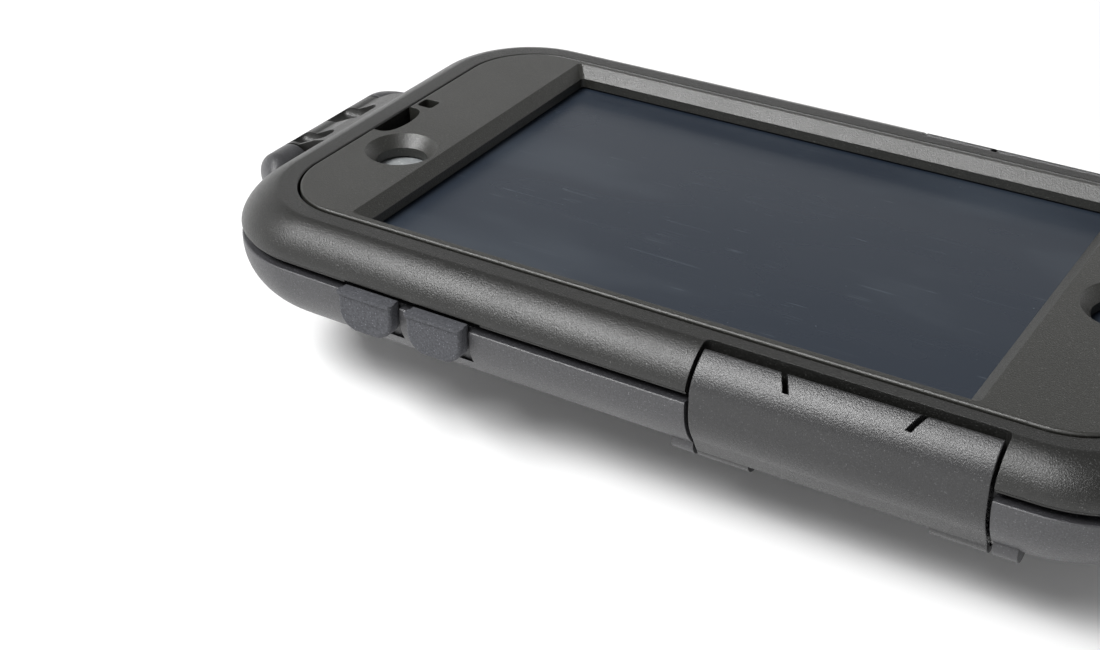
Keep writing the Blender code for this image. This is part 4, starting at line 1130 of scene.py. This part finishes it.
def latch_corner(name, x, inward, side):
    """Cutter that rounds one corner of a latch's tip, seen from above."""
    radius = LATCH_CORNER_R
    plan = [(-OVERCUT, radius), (-OVERCUT, -OVERCUT), (radius, -OVERCUT)]
    for i in range(LATCH_CORNER_STEPS + 1):
        angle = math.pi / 2 * i / LATCH_CORNER_STEPS
        plan.append((radius * (1 - math.sin(angle)), radius * (1 - math.cos(angle))))
    return upright(name, plan, x, inward, side, SLIT_LOW_Z, OVERCUT)


def screw_places():
    x = FOOT_PLATE_L / 2 - SCREW_FROM_END
    y = FOOT_PLATE_W / 2 - SCREW_FROM_SIDE
    return [(sx * x, sy * y) for sx in (-1, 1) for sy in (-1, 1)]


def make_foot(mat):
    """Screwed-on plate with the round quarter-turn foot that locks into a handlebar mount."""
    low = FOOT_PLATE_Z
    flange_top = low - NECK_H
    loops = [round_rect(FOOT_PLATE_L - 2 * a, FOOT_PLATE_W - 2 * a, FOOT_PLATE_R - a, low + b)
             for a, b in reversed(edge_round(FOOT_PLATE_EDGE))]
    loops.append(round_rect(FOOT_PLATE_L, FOOT_PLATE_W, FOOT_PLATE_R, FOOT_TOP_Z))
    foot = loft("foot_mount", loops)
    upper = [(FLANGE_R - a, flange_top - b) for a, b in reversed(edge_round(FLANGE_EDGE))]
    lower = [(FLANGE_R - a, FOOT_LOW_Z + b) for a, b in edge_round(FLANGE_EDGE)]
    profile = [(0.0, low + OVERCUT), (NECK_R, low + OVERCUT), (NECK_R, flange_top)] + upper + lower
    steps = [("UNION", turned("foot_flange", profile + [(0.0, FOOT_LOW_Z)]))]
    for side in (1, -1):
        y = sorted((side * FLANGE_FLAT, side * (FLANGE_R + OVERCUT)))
        flat = box(f"flange_flat_{side}", (-FLANGE_R, y[0], FOOT_LOW_Z - OVERCUT),
                   (FLANGE_R, y[1], flange_top + FLAT_ABOVE))
        steps.append(("DIFFERENCE", flat))
    for i, (x, y) in enumerate(screw_places()):
        space = turned(f"screw_space_{i}", screw_space_profile(), x, y, SCREW_STEPS)
        steps.append(("DIFFERENCE", space))
    combine(foot, steps)
    return dress(foot, "back_case", "foot_plastic", mat, "mount_foot")


def screw_space_profile():
    """Countersunk hole through the foot's plate."""
    low = FOOT_PLATE_Z
    above = FOOT_TOP_Z + OVERCUT
    head = SCREW_HEAD_R + SEAT_GAP
    neck = SCREW_R + PIN_CLEAR
    return [(0.0, above), (neck, above), (neck, low + SCREW_HEAD_H), (head, low),
            (head, low - OVERCUT), (0.0, low - OVERCUT)]


def make_screws(mat):
    low = FOOT_PLATE_Z
    profile = [(0.0, SCREW_TOP_Z), (SCREW_R, SCREW_TOP_Z), (SCREW_R, low + SCREW_HEAD_H),
               (SCREW_HEAD_R, low), (0.0, low)]
    for i, (x, y) in enumerate(screw_places()):
        screw = turned(f"foot_screw_{i + 1}", profile, x, y, SCREW_STEPS)
        cut(screw, rod(f"screw_socket_{i}", SCREW_SOCKET_R, (x, y, low - OVERCUT),
                       (x, y, low + SCREW_SOCKET_D), SOCKET_SIDES))
        dress(screw, "back_case", "pin_steel", mat, f"mount_screw_{i + 1}")


def make_pins(mat):
    pin = bevelled(hinge_rod("hinge_pin", HINGE_PIN_R, HINGE_PIN_HALF), PIN_EDGE)
    dress(pin, "back_case", "pin_steel", mat, "lid_hinge_pin")
    reach = LATCH_END_GAP + PIN_HOLD - SEAT_GAP
    for name, side in (("left", -1), ("right", 1)):
        latch_pin = pivot_rod(f"pin_latch_{name}", LATCH_PIN_R, LATCH_X0 - reach, LATCH_X1 + reach, side)
        dress(bevelled(latch_pin, PIN_EDGE), "back_case", "pin_steel", mat, f"latch_pin_{name}")


def make_panes(mat):
    lens = disc("lens_disc", CAMERA_R + LENS_RIM, UNDER_PLATE_Z, LENS_T, TOP_END + CAMERA_X, CAMERA_Y)
    dress(lens, "front_lid", "clear_pane", mat, "camera_lens")
    rear = disc("rear_pane", REAR_PANE_R, FLOOR_Z, REAR_PANE_T, TOP_END + REAR_X, REAR_Y)
    dress(rear, "back_case", "clear_pane", mat, "rear_camera_window")


def keep_node(node, mat):
    """Give a CAD piece its finish and smooth shading, with its mesh as it is."""
    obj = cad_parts[node]
    obj.data.materials.clear()
    obj.data.materials.append(mat)
    obj.data.shade_smooth()
    weld = obj.modifiers.new("Weld", "WELD")
    weld.merge_threshold = WELD_DISTANCE
    split = obj.modifiers.new("Edges", "EDGE_SPLIT")
    split.split_angle = math.radians(SHARP_ANGLE)


# Stage

CAMERA_AZIMUTH = 0.566
CAMERA_ELEVATION = 0.546
CAMERA_ROLL = -0.012
CAMERA_DISTANCE = 0.2145
CAMERA_TARGET = (-0.00807, -0.03963)
LENS = 59.295
SENSOR = 36.0
CLIP_START = 0.01
KEY_DIRECTION = (-0.36, -0.45, 0.80)
KEY_DISTANCE = 1.2
KEY_L = 0.75
KEY_W = 0.45
KEY_POWER = 16.5
STUDIO_LIGHT = 0.22
SWEEP_LIGHT = 0.4
FLOOR_COLOUR = (0.8, 0.8, 0.8)
FLOOR_GLOW = 0.04
GLOW_START = 0.2
GLOW_END = 0.9
FLOOR_SIZE = 6.0
SWEEP_R = 2.9
SWEEP_H = 1.3


def aimed(name, data, location, turn):
    obj = bpy.data.objects.new(name, data)
    bpy.context.scene.collection.objects.link(obj)
    obj.location = location
    obj.rotation_mode = "QUATERNION"
    obj.rotation_quaternion = turn
    return obj


def make_camera():
    data = bpy.data.cameras.new("camera")
    data.lens = LENS
    data.sensor_width = SENSOR
    data.sensor_fit = "HORIZONTAL"
    data.clip_start = CLIP_START
    across = math.cos(CAMERA_ELEVATION)
    back = Vector((math.sin(CAMERA_AZIMUTH) * across, -math.cos(CAMERA_AZIMUTH) * across,
                   math.sin(CAMERA_ELEVATION)))
    turn = back.to_track_quat("Z", "Y") @ Quaternion((0.0, 0.0, 1.0), CAMERA_ROLL)
    location = Vector((*CAMERA_TARGET, TOP_Z)) + back * CAMERA_DISTANCE
    bpy.context.scene.camera = aimed("camera", data, location, turn)


def make_lights():
    data = bpy.data.lights.new("key", "AREA")
    data.shape = "RECTANGLE"
    data.size = KEY_L
    data.size_y = KEY_W
    data.energy = KEY_POWER
    direction = Vector(KEY_DIRECTION).normalized()
    aimed("key", data, direction * KEY_DISTANCE, direction.to_track_quat("Z", "Y"))


def seen_directly(tree):
    """1 for rays from the camera and off gloss or through glass, 0 for the rest."""
    path = add(tree, "ShaderNodeLightPath")
    seen = math_node(tree, "MAXIMUM", path.outputs["Is Camera Ray"], path.outputs["Is Glossy Ray"])
    return math_node(tree, "MAXIMUM", seen, path.outputs["Is Transmission Ray"])


def make_world():
    """Plain soft light from the studio's ceiling."""
    world = bpy.data.worlds.new("studio")
    bpy.context.scene.world = world
    world.use_nodes = True
    background = world.node_tree.nodes["Background"]
    fill(world.node_tree, background, {"Color": WHITE, "Strength": STUDIO_LIGHT})


def make_sweep():
    """White backdrop all round the floor."""
    bm = bmesh.new()
    rows = [[bm.verts.new((x, y, z)) for z in (0.0, SWEEP_H)] for x, y in circle(0.0, 0.0, SWEEP_R)]
    for (a, b), (c, d) in zip(rows, rows[1:] + rows[:1]):
        bm.faces.new((a, c, d, b))
    sweep = to_object("backdrop", bm)
    mat, tree, shader = new_material("white_backdrop")
    fill(tree, shader, {"Base Color": BLACK, "Specular IOR Level": 0.0, "Emission Color": WHITE,
                        "Emission Strength": span(tree, seen_directly(tree), 0.0, 1.0, SWEEP_LIGHT, 1.0)})
    sweep.data.materials.append(mat)


def make_floor():
    bm = bmesh.new()
    bmesh.ops.create_grid(bm, x_segments=1, y_segments=1, size=FLOOR_SIZE / 2)
    floor = to_object("floor", bm)
    mat, tree, shader = new_material("pale_floor")
    seen = seen_directly(tree)
    away = add(tree, "ShaderNodeVectorMath", {"operation": "LENGTH"}, {0: places(tree)})
    glow = span(tree, away.outputs["Value"], GLOW_START, GLOW_END, FLOOR_GLOW, 1.0)
    fill(tree, shader, {"Base Color": mix_colours(tree, seen, FLOOR_COLOUR, WHITE[:3]),
                        "Emission Color": WHITE, "Emission Strength": math_node(tree, "MULTIPLY", seen, glow),
                        "Roughness": 1.0, "Specular IOR Level": 0.0})
    floor.data.materials.append(mat)


# The whole case

def build():
    case_mat = moulded_plastic("case_moulding", CASE_COLOUR, 0.33, 0.56)
    # lighter copy of the case plastic: painted bounce light on the latch
    latch_mat = moulded_plastic("latch_moulding", LATCH_PAINTED_LIGHT_COLOUR, 0.31, 0.66)
    # lighter copy of the case plastic: painted bounce light from the floor
    back_mat = moulded_plastic("back_moulding", BACK_PAINTED_BOUNCE_COLOUR, 0.40, 0.8, depth=SHALLOW_DEPTH)
    plate_mat = moulded_plastic("plate_moulding", PLATE_COLOUR, 0.38, 0.8)
    foot_mat = moulded_plastic("foot_moulding", FOOT_COLOUR, 0.5, 0.6, FOOT_GRAIN, SHALLOW_DEPTH)
    button_mat = speckled_rubber("button_rubber", BUTTON_COLOUR, specks=0.8)
    seal_mat = speckled_rubber("seal_rubber", SEAL_COLOUR, specks=0.3, gloss=0.15)
    liner_mat = speckled_rubber("liner_rubber", LINER_COLOUR, specks=0.3, roughness=0.6)
    film_mat = touch_film()
    pane_mat = clear_pane()
    steel_mat = turned_steel()

    make_cover(case_mat)
    make_plate(plate_mat)
    make_shell(back_mat)
    make_liner(liner_mat)
    make_latch("latch_lever_left", -1, "left_latch", latch_mat, "latch_left")
    make_latch("latch_lever_right", 1, "right_latch", latch_mat, "latch_right")
    make_button("button_pad_up", 0, "volume_up", button_mat, "volume_up_button")
    make_button("button_pad_down", 1, "volume_down", button_mat, "volume_down_button")
    make_foot(foot_mat)
    make_screws(steel_mat)
    make_pins(steel_mat)
    make_panes(pane_mat)
    keep_node("window_film", film_mat)
    keep_node("case_seal", seal_mat)
    keep_node("button_seal", seal_mat)

    make_floor()
    make_sweep()
    make_world()
    make_lights()
    make_camera()
    bpy.context.scene.view_settings.view_transform = "Standard"


build()
